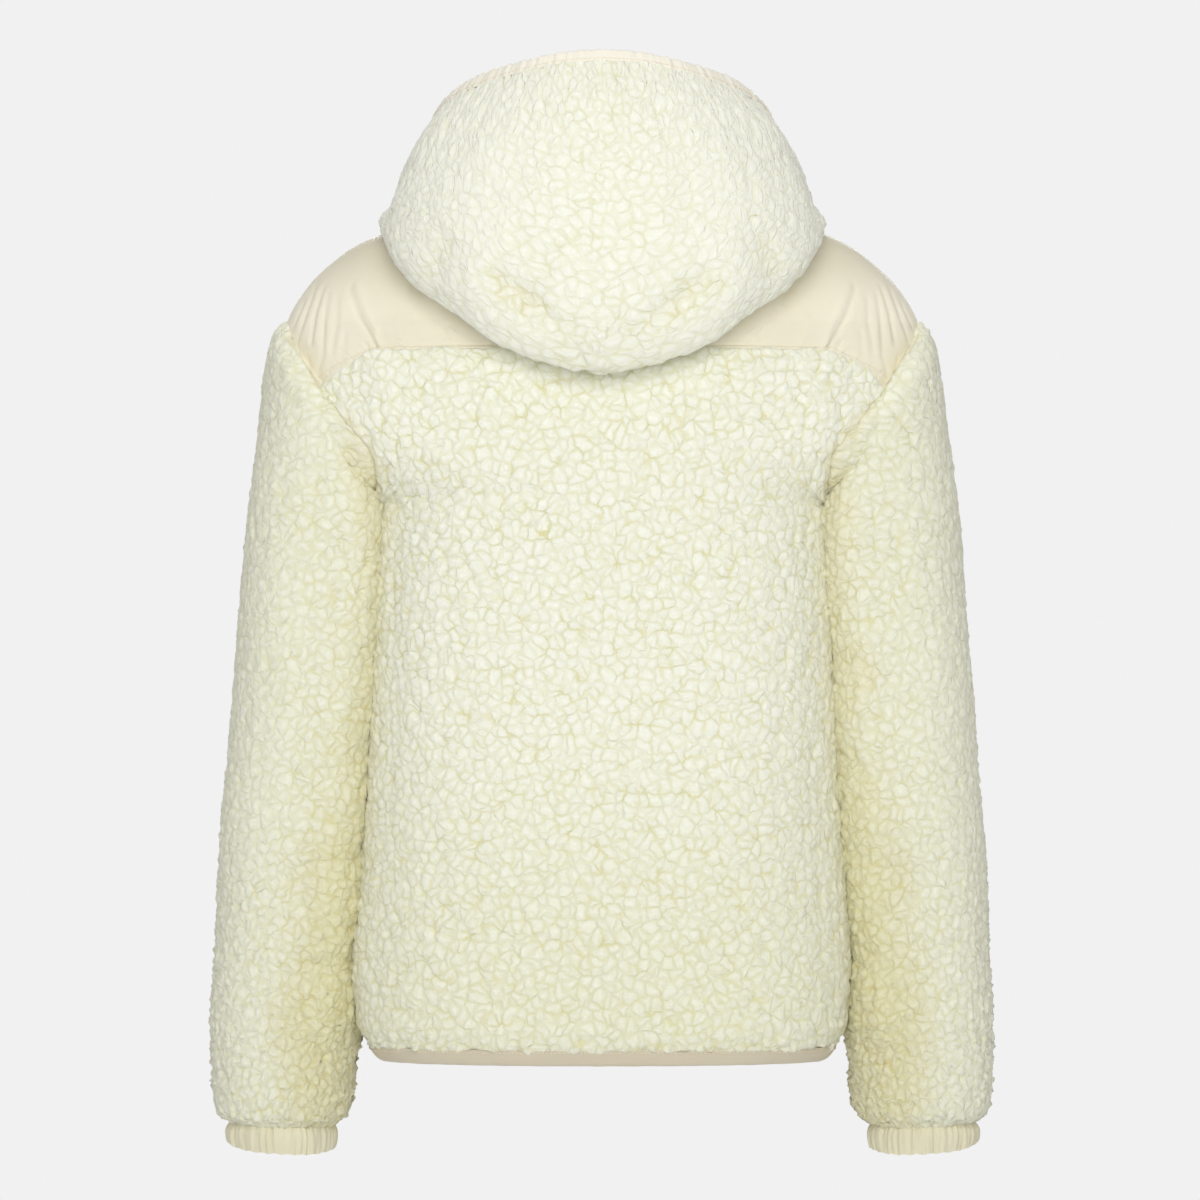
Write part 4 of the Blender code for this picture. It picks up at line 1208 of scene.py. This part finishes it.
cuffForm = tableOf(
    "z width depth",
    (-678.9, 36, 42.5),
    (-684, 39, 44.5),
    (-692, 39.5, 44.5),
    (-700.5, 38, 42.5),
)
cuffSizes = {
    "x": 238.5,
    "y": -21.0,
    "tilt": 0.06,
    "cornerRise": 4.0,
    "scallop": 0.4,
    "waves": 25,
    "waveDepth": 0.7,
    "fineWaves": (37, 44, 53, 61),
    "fineDepth": 0.9,
    "columns": 300,
    "rows": 16,
}


def makeCuff(name, node, side, seed):
    sizes, rng = cuffSizes, np.random.default_rng(seed)
    turns = np.arange(sizes["columns"]) * 2 * math.pi / sizes["columns"]
    share = np.linspace(0, 1, sizes["rows"])[:, None]
    z = cuffForm["z"][0] + (cuffForm["z"][-1] - cuffForm["z"][0]) * share
    strong = 0.75 + 0.25 * np.sin(turns * 4 + rng.uniform(0, 6))[None, :]
    fine = sum(np.sin(turns * waves + rng.uniform(0, 6.28) + share * rng.uniform(-2.5, 2.5))
               * rng.uniform(0.5, 1) for waves in sizes["fineWaves"])
    swell = sizes["waveDepth"] * np.cos(turns * sizes["waves"]) * strong
    swell = swell + sizes["fineDepth"] * fine / 2
    x = (curve(cuffForm["z"], cuffForm["width"])(z) + swell) * np.cos(turns)
    y = (curve(cuffForm["z"], cuffForm["depth"])(z) + swell) * np.sin(turns)
    scallop = sizes["scallop"] * np.cos(turns * sizes["waves"] + 0.4)
    corner = sizes["cornerRise"] * np.cos(turns) ** 4
    z = z + sizes["tilt"] * x * share + share ** 3 * (scallop + corner)
    p = np.stack([sizes["x"] + x, sizes["y"] + y, z], -1)
    normals = unit((p - [sizes["x"], sizes["y"], 0]) * (1, 1, 0))
    top = p + normals * cloth["nylon"]
    cuff = shell(name, mirrored(top, side), mirrored(p, side), (cuffMat,), tube=True)
    dress(cuff, node)
    layOut(cuff, *flatCut(np.concatenate([p, p[:, :1]], 1)), "gathered")


makeCuff("cuffLeft", "cuff_left", 1, 51)
makeCuff("cuffRight", "cuff_right", -1, 52)
print("cuffs made")


hoodParts = ("neck", "under", "roll", "low", "belly", "upper", "rim")
hoodForm = tableOf(
    "azimuth " + " ".join(part + "R " + part + "Z" for part in hoodParts),
    (0, 76.5, -37, 79, -29, 82, -20, 84.5, -9, 86.5, 3, 88, 17, 88, 36),
    (30, 77, -22, 82, -17, 87, -11, 92, -3, 96, 8, 98, 22, 98, 41),
    (55, 78, -3.5, 88, -4, 100, -6, 110, -1, 115, 10, 114, 28, 108, 49),
    (75, 78, 0, 108, -5, 137, -12, 150, -6, 148, 8, 138, 32, 119, 60),
    (90, 77, 0.5, 122, -6, 153, -17, 163, -14, 155, 4, 143, 32, 123.5, 68),
    (105, 74, 0, 126, -10, 165, -28, 172, -20, 161, 3, 148, 34, 121, 78),
    (120, 70, -1, 134, -35, 173, -51, 184, -36, 179, -8, 159, 31, 117, 88),
    (135, 67, -1.5, 126, -59, 174, -77, 189, -58, 189, -26, 166, 27, 115, 95),
    (150, 65, -2, 118, -80, 166, -105, 185, -83, 191, -44, 171, 20, 116, 101.5),
    (165, 64, -2, 114, -95, 157, -124, 178, -102, 189, -56, 174, 12, 116.5, 107),
    (180, 63.5, -2, 113, -99, 152, -131, 174, -108, 187, -60, 175, 9, 116.5, 109),
)
hoodSizes = {
    "columns": 61,
    "rows": 44,
    "centreLap": -0.5,    # the halves' piles meet without a gap
    "rimHeight": 10.0,
    "rimSink": 1.2,
    "restLevel": -0.6,
    "drawn": 0.16,        # the share of its height that is drawn down onto the yoke in front
    "drawnTo": 95.0,      # and the azimuth up to which it is
    "sway": 1.6,
    "swaySize": 48.0,
    "hollow": 5.0,        # folds this deep get the strongest painted warm shade
    "hollowShade": 0.45,
    "leastFaint": 0.45,   # the wool's cells show most at the centre seam
    "seamWide": 34.0,
}
hoodFolds = tableOf(
    "x0 z0 x1 z1 depth width ridge",
    (84, -58, 45, -88, -5.5, 11.0, 0),
    (45, -84, 26, -104, -2.5, 8.0, 0),
    (0, -96, 0, -124, 2.5, 9.0, 0),
    (14, -92, 20, -122, -2.5, 6.0, 0),
    (112, -30, 128, -62, -3.0, 10.0, 0),
)


def restOnBody(p):
    # what would sink into the body is laid on it
    low = np.minimum(p[..., 2], hoodSizes["restLevel"])
    onPile = fade(low, level["yoke"] + 9, -cloth["pileRound"])
    stand = cloth["nylon"] + (cloth["sherpa"] - cloth["nylon"]) * onPile + cloth["hoodClearance"]
    for _ in range(6):
        q = p.copy()
        q[..., 2] = np.minimum(p[..., 2], hoodSizes["restLevel"])
        slope = gaugeSlope(q)
        size = np.linalg.norm(slope, axis=-1)
        away = (gauge(q) - 1) / size
        short = np.clip(stand - away, 0, None) * fade(p[..., 2], 4, -8)
        p = p + slope * (short / size)[..., None]
    return p


def hoodProfile(azimuth, lengths):
    # lengths run from 0 at the neck to 1 at the binding, and on to 2 at the rim
    r, z = (np.array([curve(hoodForm["azimuth"], hoodForm[part + axis])(azimuth)
                      for part in hoodParts]) for axis in "RZ")
    run = runLength(np.stack([r, z], -1), 0)
    fine = np.linspace(0, run[-1], 240)
    fineR, fineZ = curve(run, r)(fine), curve(run, z)(fine)
    fineRun = runLength(np.stack([fineR, fineZ], -1), 0)
    rim = hoodSizes["rimHeight"]
    covered = lengths * (fineRun[-1] - rim - cloth["seamGap"])
    at = np.where(lengths <= 1, covered, fineRun[-1] - rim * (2 - lengths))
    turn = math.radians(azimuth)
    r, z = np.interp(at, fineRun, fineR), np.interp(at, fineRun, fineZ)
    return np.stack([r * math.sin(turn), -r * math.cos(turn), z], -1)


def meetYoke(p, azimuths, lengths):
    # the hood's front end drawn onto the neck edge of the front yoke
    shares = np.linspace(0, 1, 80)
    z = neckSeam(shares, -1)
    seam = formPoint(z, fromZip(z, shares, -1), -1)
    turn = np.degrees(np.arctan2(seam[:, 0], -seam[:, 1]))
    radius = np.interp(azimuths, turn, np.hypot(seam[:, 0], seam[:, 1]))
    height = np.interp(azimuths, turn, seam[:, 2]) + cloth["seamGap"] - 1
    angle = np.radians(azimuths)
    target = np.stack([radius * np.sin(angle), -radius * np.cos(angle), height], -1)
    share = 1 - fade(lengths, 0, hoodSizes["drawn"])[None, :]
    share = share * fade(azimuths, hoodSizes["drawnTo"], -12)[:, None]
    return p + (target - p[:, 0])[:, None] * share[..., None]


def hoodGrid(azimuths, lengths):
    p = restOnBody(np.array([hoodProfile(azimuth, lengths) for azimuth in azimuths]))
    p = meetYoke(p, azimuths, lengths)
    p[0, :, 1] = -np.hypot(p[0, :, 0], p[0, :, 1])
    p[0, :, 0] = cloth["zipHalf"]
    return p


def hoodNormals(p):
    normals = -gridNormals(p)
    if np.mean(np.sum(normals * unit(p * (1, 1, 0)), -1)[:, -2:]) < 0:
        normals = -normals
    for end in (0, -1):
        normals[end] = unit(normals[end] * (0, 1, 1))
    return normals


def makeHoodHalf(name, node, side):
    sizes = hoodSizes
    azimuths = np.linspace(0, 180, sizes["columns"])
    p = hoodGrid(azimuths, np.linspace(0, 1, sizes["rows"]))
    normals = hoodNormals(p)
    run = runLength(p, 1)
    toRim = run[:, -1:] - run
    calm = fade(run, 0, 70) * fade(toRim, 0, 30)
    sway = sizes["sway"] * softNoise(np.abs(p), sizes["swaySize"], 61) * calm
    p = p + normals * (foldLift(p, hoodFolds, 1) + sway)[..., None]
    p[-1, :, 0] = sizes["centreLap"]
    base = p - normals * (pileLoft(run, toRim) * cloth["sherpa"])[..., None]
    base[-1, :, 0] = sizes["centreLap"]
    base[0, :, 0] = cloth["zipHalf"]
    # painted warm shade in the hollows of the folds
    hollow = np.clip(-foldLift(p, hoodFolds, 1) / sizes["hollow"], 0, 1)
    fromSeam = fade(azimuths, 176, -sizes["seamWide"])[:, None]
    faint = sizes["leastFaint"] + (1 - sizes["leastFaint"]) * fromSeam
    sherpaPiece(name, node, mirrored(base, side), mirrored(normals, side), (run, toRim),
                held="folded", upright=False, seed=60, warm=sizes["hollowShade"] * hollow,
                faint=faint * (1 - hollow))


makeHoodHalf("hoodLeft", "hood_left", 1)
makeHoodHalf("hoodRight", "hood_right", -1)
print("hood made")


def bandShell(name, line, out, up, height, thickness, columns=15, flatness=3.0, ply=0.8):
    # a strip folded over an edge: out and up give its two directions at each point of the line
    turn = np.linspace(-0.42 * math.pi, 1.42 * math.pi, columns)
    cos = np.sign(np.cos(turn)) * np.abs(np.cos(turn)) ** (2 / flatness)
    sin = np.sign(np.sin(turn)) * np.abs(np.sin(turn)) ** (2 / flatness)

    def layer(inward):
        wide = (thickness / 2 - inward)[:, None, None] * cos[None, :, None]
        tall = (height / 2 - inward)[:, None, None] * sin[None, :, None]
        return line[:, None] + out[:, None] * wide + up[:, None] * tall

    return shell(name, layer(0.0), layer(ply), (bindingMat,), sharp=60)


def finishBand(band, node, seam, width, length):
    # the strip is folded in two round the edge it covers, and sewn through
    stitches = sewAlong(band.name + "Stitches", seam)
    dress(band, node)
    layOut(band, (width * mm, length * mm), None, "stretched", [stitches])


rimSizes = {
    "steps": 260,
    "gather": 0.75,
    "gatherLength": 7.5,
    "heightGather": 1.0,
    "ease": 1.15,         # the cloth's own length to that of the stretched rim
    "taller": 1.0,
    "shoulderTaller": 3.0,
    "shoulderAt": 126.0,  # azimuth at which it stands that much taller
    "shoulderWide": 18.0,
}


def gathers(run, length, seed):
    rng = np.random.default_rng(seed)
    wave = sum(np.sin(run * 2 * math.pi / (length * f) + rng.uniform(0, 6.28)) * rng.uniform(0.5, 1)
               for f in (0.62, 1.0, 1.37, 2.1))
    return wave / 1.8


def makeRim(name, node, side, seed):
    sizes, centreGap = rimSizes, cloth["seamGap"] / 2
    azimuths = np.linspace(0, 180, sizes["steps"])
    p = hoodGrid(azimuths, np.array([1.03, 1.5, 2.0]))
    normals = hoodNormals(p)
    run = runLength(p[:, 1], 0)
    wave = gathers(run, sizes["gatherLength"], seed) * fade(run, 0, 10) * fade(run[-1] - run, 0, 10)
    up = unit(p[:, 2] - p[:, 0])
    out = unit(normals[:, 1] - up * np.sum(normals[:, 1] * up, -1)[:, None])
    for end in (0, -1):
        up[end, 0] = out[end, 0] = 0
    line = (p[:, 0] + p[:, 2]) / 2 - out * (hoodSizes["rimSink"] + cloth["binding"] / 2)
    line[0, 0], line[-1, 0] = cloth["zipHalf"], centreGap
    taller = sizes["shoulderTaller"] * bell(azimuths, sizes["shoulderAt"], sizes["shoulderWide"])
    taller = sizes["taller"] + taller
    height = np.linalg.norm(p[:, 2] - p[:, 0], axis=-1) + taller + sizes["heightGather"] * wave
    line = line + up * ((taller - 1.2 * sizes["taller"]) / 2)[:, None]
    line = line + out * (sizes["gather"] / 2 * wave)[:, None]
    thickness = cloth["binding"] + sizes["gather"] * wave
    seam = line + out * (thickness / 2 + 0.1)[:, None] - up * (height / 2 - 2.2)[:, None]
    line, out, up, seam = (mirrored(v, side) for v in (line, out, up, seam))
    band = bandShell(name, line, out, up, height, thickness)
    width = 2 * hoodSizes["rimHeight"] + cloth["binding"]
    finishBand(band, node, seam, width, run[-1] * sizes["ease"])


makeRim("rimLeft", "hood_binding_left", 1, 71)
makeRim("rimRight", "hood_binding_right", -1, 72)


hemSizes = {
    "columns": 130,
    "gather": 0.25,
    "gatherLength": 23.0,
    "heightGather": 0.2,
    "taller": 1.0,
    "cornerFrom": 0.8,    # share of the half width from which the hem rises to its corner
}


def makeHem(name, node, face, side, seed):
    sizes, tall = hemSizes, level["band"] - cloth["seamGap"]
    shares = evenShares(face, -618, sizes["columns"])
    z = hemSeam(shares) - cloth["seamGap"] - tall / 2
    share = fromZip(z, shares, face)
    line = formPoint(z, share, face)
    out, up = unit(gaugeSlope(line)), unit(line - formPoint(z - 5, share, face))
    run = runLength(line, 0)
    wave = gathers(run, sizes["gatherLength"], seed)
    corner = cloth["hemCorner"] * fade(np.abs(shares), sizes["cornerFrom"], 0.2)
    height = tall + sizes["heightGather"] * wave + sizes["taller"] - corner
    thickness = cloth["binding"] + sizes["gather"] * wave
    line = line + np.array([0, 0, 1]) * (corner / 2 - 0.5)[:, None] + out * cloth["binding"] / 2
    seam = line + out * (thickness / 2 + 0.1)[:, None] + up * (height / 2 - 2.5)[:, None]
    line, out, up, seam = (mirrored(v, side) for v in (line, out, up, seam))
    band = bandShell(name, line, out, -up, height, thickness)
    finishBand(band, node, seam, 2 * level["band"] + cloth["binding"], run[-1])


makeHem("hemBack", "hem_back", 1, 1, 81)
makeHem("hemFrontLeft", "hem_front_left", -1, 1, 82)
makeHem("hemFrontRight", "hem_front_right", -1, -1, 82)
print("bindings made")


zipLevels = (-629, -620, -606, -580, -500, -400, -300, -215, -163, -125, -95, -70, -52, -43)
zipSizes = {
    "collarSink": 4.0,
    "steps": 180,
    "across": (0.15, 1.6, 3.2, 4.9, 6.58),    # from the middle to the tape's edge
    "swell": (0.5, 0.5, 0.0, 0.0, 0.0),       # the tape is thicker under its teeth
    "toothLift": 0.6,
    "toothOut": 1.0,
}
toothSizes = {"Pitch": 0.0030, "Wide": 0.0034, "Deep": 0.0022, "Tall": 0.0015}
toothTree = makeRowTree("zip teeth", ("Wide", "Deep", "Tall"), "Z", "GeometryNodeMeshCylinder",
                        {"Vertices": 8, "Radius": 0.5, "Depth": 1.0}, False)


def zipPath():
    levels = np.array(zipLevels, float)
    body = np.stack([-bodyFront(levels), levels], -1)
    collar = hoodProfile(0.0, np.array([0.1, 0.3, 0.5, 0.75, 1.0, 2.0]))[:, 1:]
    collar[:, 0] += zipSizes["collarSink"] * fade(collar[:, 1], frontNeckForm["z"][0], 20)
    return np.concatenate([body, collar])


def makeTape(name, node, side):
    sizes, knots = zipSizes, zipPath()
    run = runLength(knots, 0)
    middle, even = curve(run, knots), np.linspace(0, run[-1], sizes["steps"])
    along = unit(np.gradient(middle(even), axis=0))
    out = np.stack([-along[:, 1], along[:, 0]], -1)
    out *= -np.sign(out[:, :1])
    x, swell = np.array(sizes["across"]), np.array(sizes["swell"])

    def strip(depth):
        flat = middle(even)[:, None] + out[:, None] * depth[None, :, None]
        wide = np.broadcast_to(x[None, :, None], (len(even), len(x), 1))
        return mirrored(np.concatenate([wide, flat], -1), side)

    tape = shell(name, strip(cloth["tape"] + swell), strip(np.zeros(len(x))), (tapeMat,))
    dress(tape, node)
    start = 0 if side > 0 else toothSizes["Pitch"] / 2 / mm      # the two rows of teeth interlock
    at = np.linspace(start, run[-1] - 4, 400)
    away = np.stack([np.interp(at, even, part) for part in out.T], -1)
    centre = middle(at) + away * (cloth["tape"] + sizes["toothLift"])
    line = np.concatenate([np.full((len(at), 1), side * sizes["toothOut"]), centre], -1)
    values = dict(toothSizes, Material=teethMat)
    dress(growOn(guideLine(name + "Line", line), toothTree, values, name + "Teeth"))
    print(f"  {name}: {x[-1] - x[0]:.1f} mm shows of a tape {run[-1]:.0f} mm long")


makeTape("zipTapeLeft", "zip_tape_left", 1)
makeTape("zipTapeRight", "zip_tape_right", -1)
for node in ("zip_slider", "zip_pull"):
    for slot in frame["nodes"][node].material_slots:
        slot.material = metalMat
print("zip made")


studio = {
    "background": srgb(241, 241, 241),
    "ambient": 0.42,
    "floorLevel": -1.45,
    "floorRadius": 4.0,
    "cameraDistance": 6.0,
    "cameraAt": (0.00185, -0.292),
    "frameHeight": 0.888,
    "sensor": 36,
}
lights = {      # place, what it faces, width and watts
    "key": ((0.0, 2.6, 0.35), (0, 0, -0.25), 1.5, 38),
    "front": ((0.0, -2.6, 0.35), (0, 0, -0.25), 1.5, 38),
    "top": ((0.0, 0.0, 2.4), (0, 0, -0.2), 2.0, 15),
    "sideLeft": ((3.4, 0.0, 0.6), (0, 0, -0.3), 2.2, 9),
    "sideRight": ((-3.4, 0.0, 0.6), (0, 0, -0.3), 2.2, 9),
}


def makeWorld():
    world = bpy.data.worlds.new("studio")
    bpy.context.scene.world = world
    world.use_nodes = True
    tree = world.node_tree
    tree.nodes.clear()
    seen = addNode(tree, "ShaderNodeBackground", {"Color": studio["background"], "Strength": 1.0})
    light = addNode(tree, "ShaderNodeBackground", {
        "Color": (1, 1, 1, 1), "Strength": studio["ambient"]})
    rays = addNode(tree, "ShaderNodeLightPath")
    mixed = addNode(tree, "ShaderNodeMixShader", {
        0: rays.outputs["Is Camera Ray"], 1: light.outputs[0], 2: seen.outputs[0]})
    addNode(tree, "ShaderNodeOutputWorld", {0: mixed.outputs[0]})


def makeFloor():
    # a round floor that fades out before its edge
    sides, shares = 96, (0.1, 0.25, 0.45, 0.7, 1.0)
    turn = np.arange(sides) * 2 * math.pi / sides
    ring = np.stack([np.cos(turn), np.sin(turn), np.zeros(sides)], -1) * studio["floorRadius"]
    points = np.concatenate([np.zeros((1, 3))] + [ring * share for share in shares])
    points[:, 2] = studio["floorLevel"]
    here = np.arange(sides)
    ahead = (here + 1) % sides
    faces = [(0, 1 + i, 1 + j) for i, j in zip(here.tolist(), ahead.tolist())]
    for a in range(1, 1 + (len(shares) - 1) * sides, sides):
        faces += np.stack([a + here, a + sides + here, a + sides + ahead, a + ahead], -1).tolist()
    mesh = bpy.data.meshes.new("floor")
    mesh.from_pydata(points.tolist(), [], faces)
    made, tree, shader = newMaterial("paleFloor", 0.9, Specular_IOR_Level=0.0)
    place = addNode(tree, "ShaderNodeTexCoord").outputs["Object"]
    flat = vectors(tree, "MULTIPLY", place, (1, 1, 0))
    away = addNode(tree, "ShaderNodeVectorMath", {0: flat}, operation="LENGTH").outputs["Value"]
    grey = blendColour(tree, noise(tree, place, 3.0), srgb(240, 240, 240), srgb(242, 242, 242))
    feed(tree, shader.inputs["Base Color"], grey)
    feed(tree, shader.inputs["Alpha"], ramp(tree, away, 1.2, 3.8, 1.0, 0.0))
    mesh.materials.append(made)
    link("floor", mesh)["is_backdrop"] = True


def areaLight(name, place, target, size, power):
    lamp = bpy.data.lights.new(name, "AREA")
    lamp.shape, lamp.size, lamp.energy = "DISK", size, power
    made = link(name, lamp)
    made.location = place
    x, y, z = np.array(target) - np.array(place)
    made.rotation_euler = (math.atan2(math.hypot(x, y), -z), 0, math.atan2(y, x) - math.pi / 2)


def makeCamera():
    lens = bpy.data.cameras.new("camera")
    lens.sensor_width = studio["sensor"]
    lens.lens = studio["sensor"] * studio["cameraDistance"] / studio["frameHeight"]
    lens.clip_end = 100
    made = link("camera", lens)
    across, height = studio["cameraAt"]
    made.location = (across, studio["cameraDistance"], height)
    made.rotation_euler = (math.pi / 2, 0, math.pi)
    bpy.context.scene.camera = made


makeWorld()
makeFloor()
for name, settings in lights.items():
    areaLight(name, *settings)
makeCamera()
bpy.context.scene.view_settings.view_transform = "Standard"
print("studio made")

triangles = 0
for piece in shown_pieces():
    piece.data.calc_loop_triangles()
    count = len(piece.data.loop_triangles)
    triangles += count
    print(f"  {piece.name}: {count}")
print("triangles:", triangles)
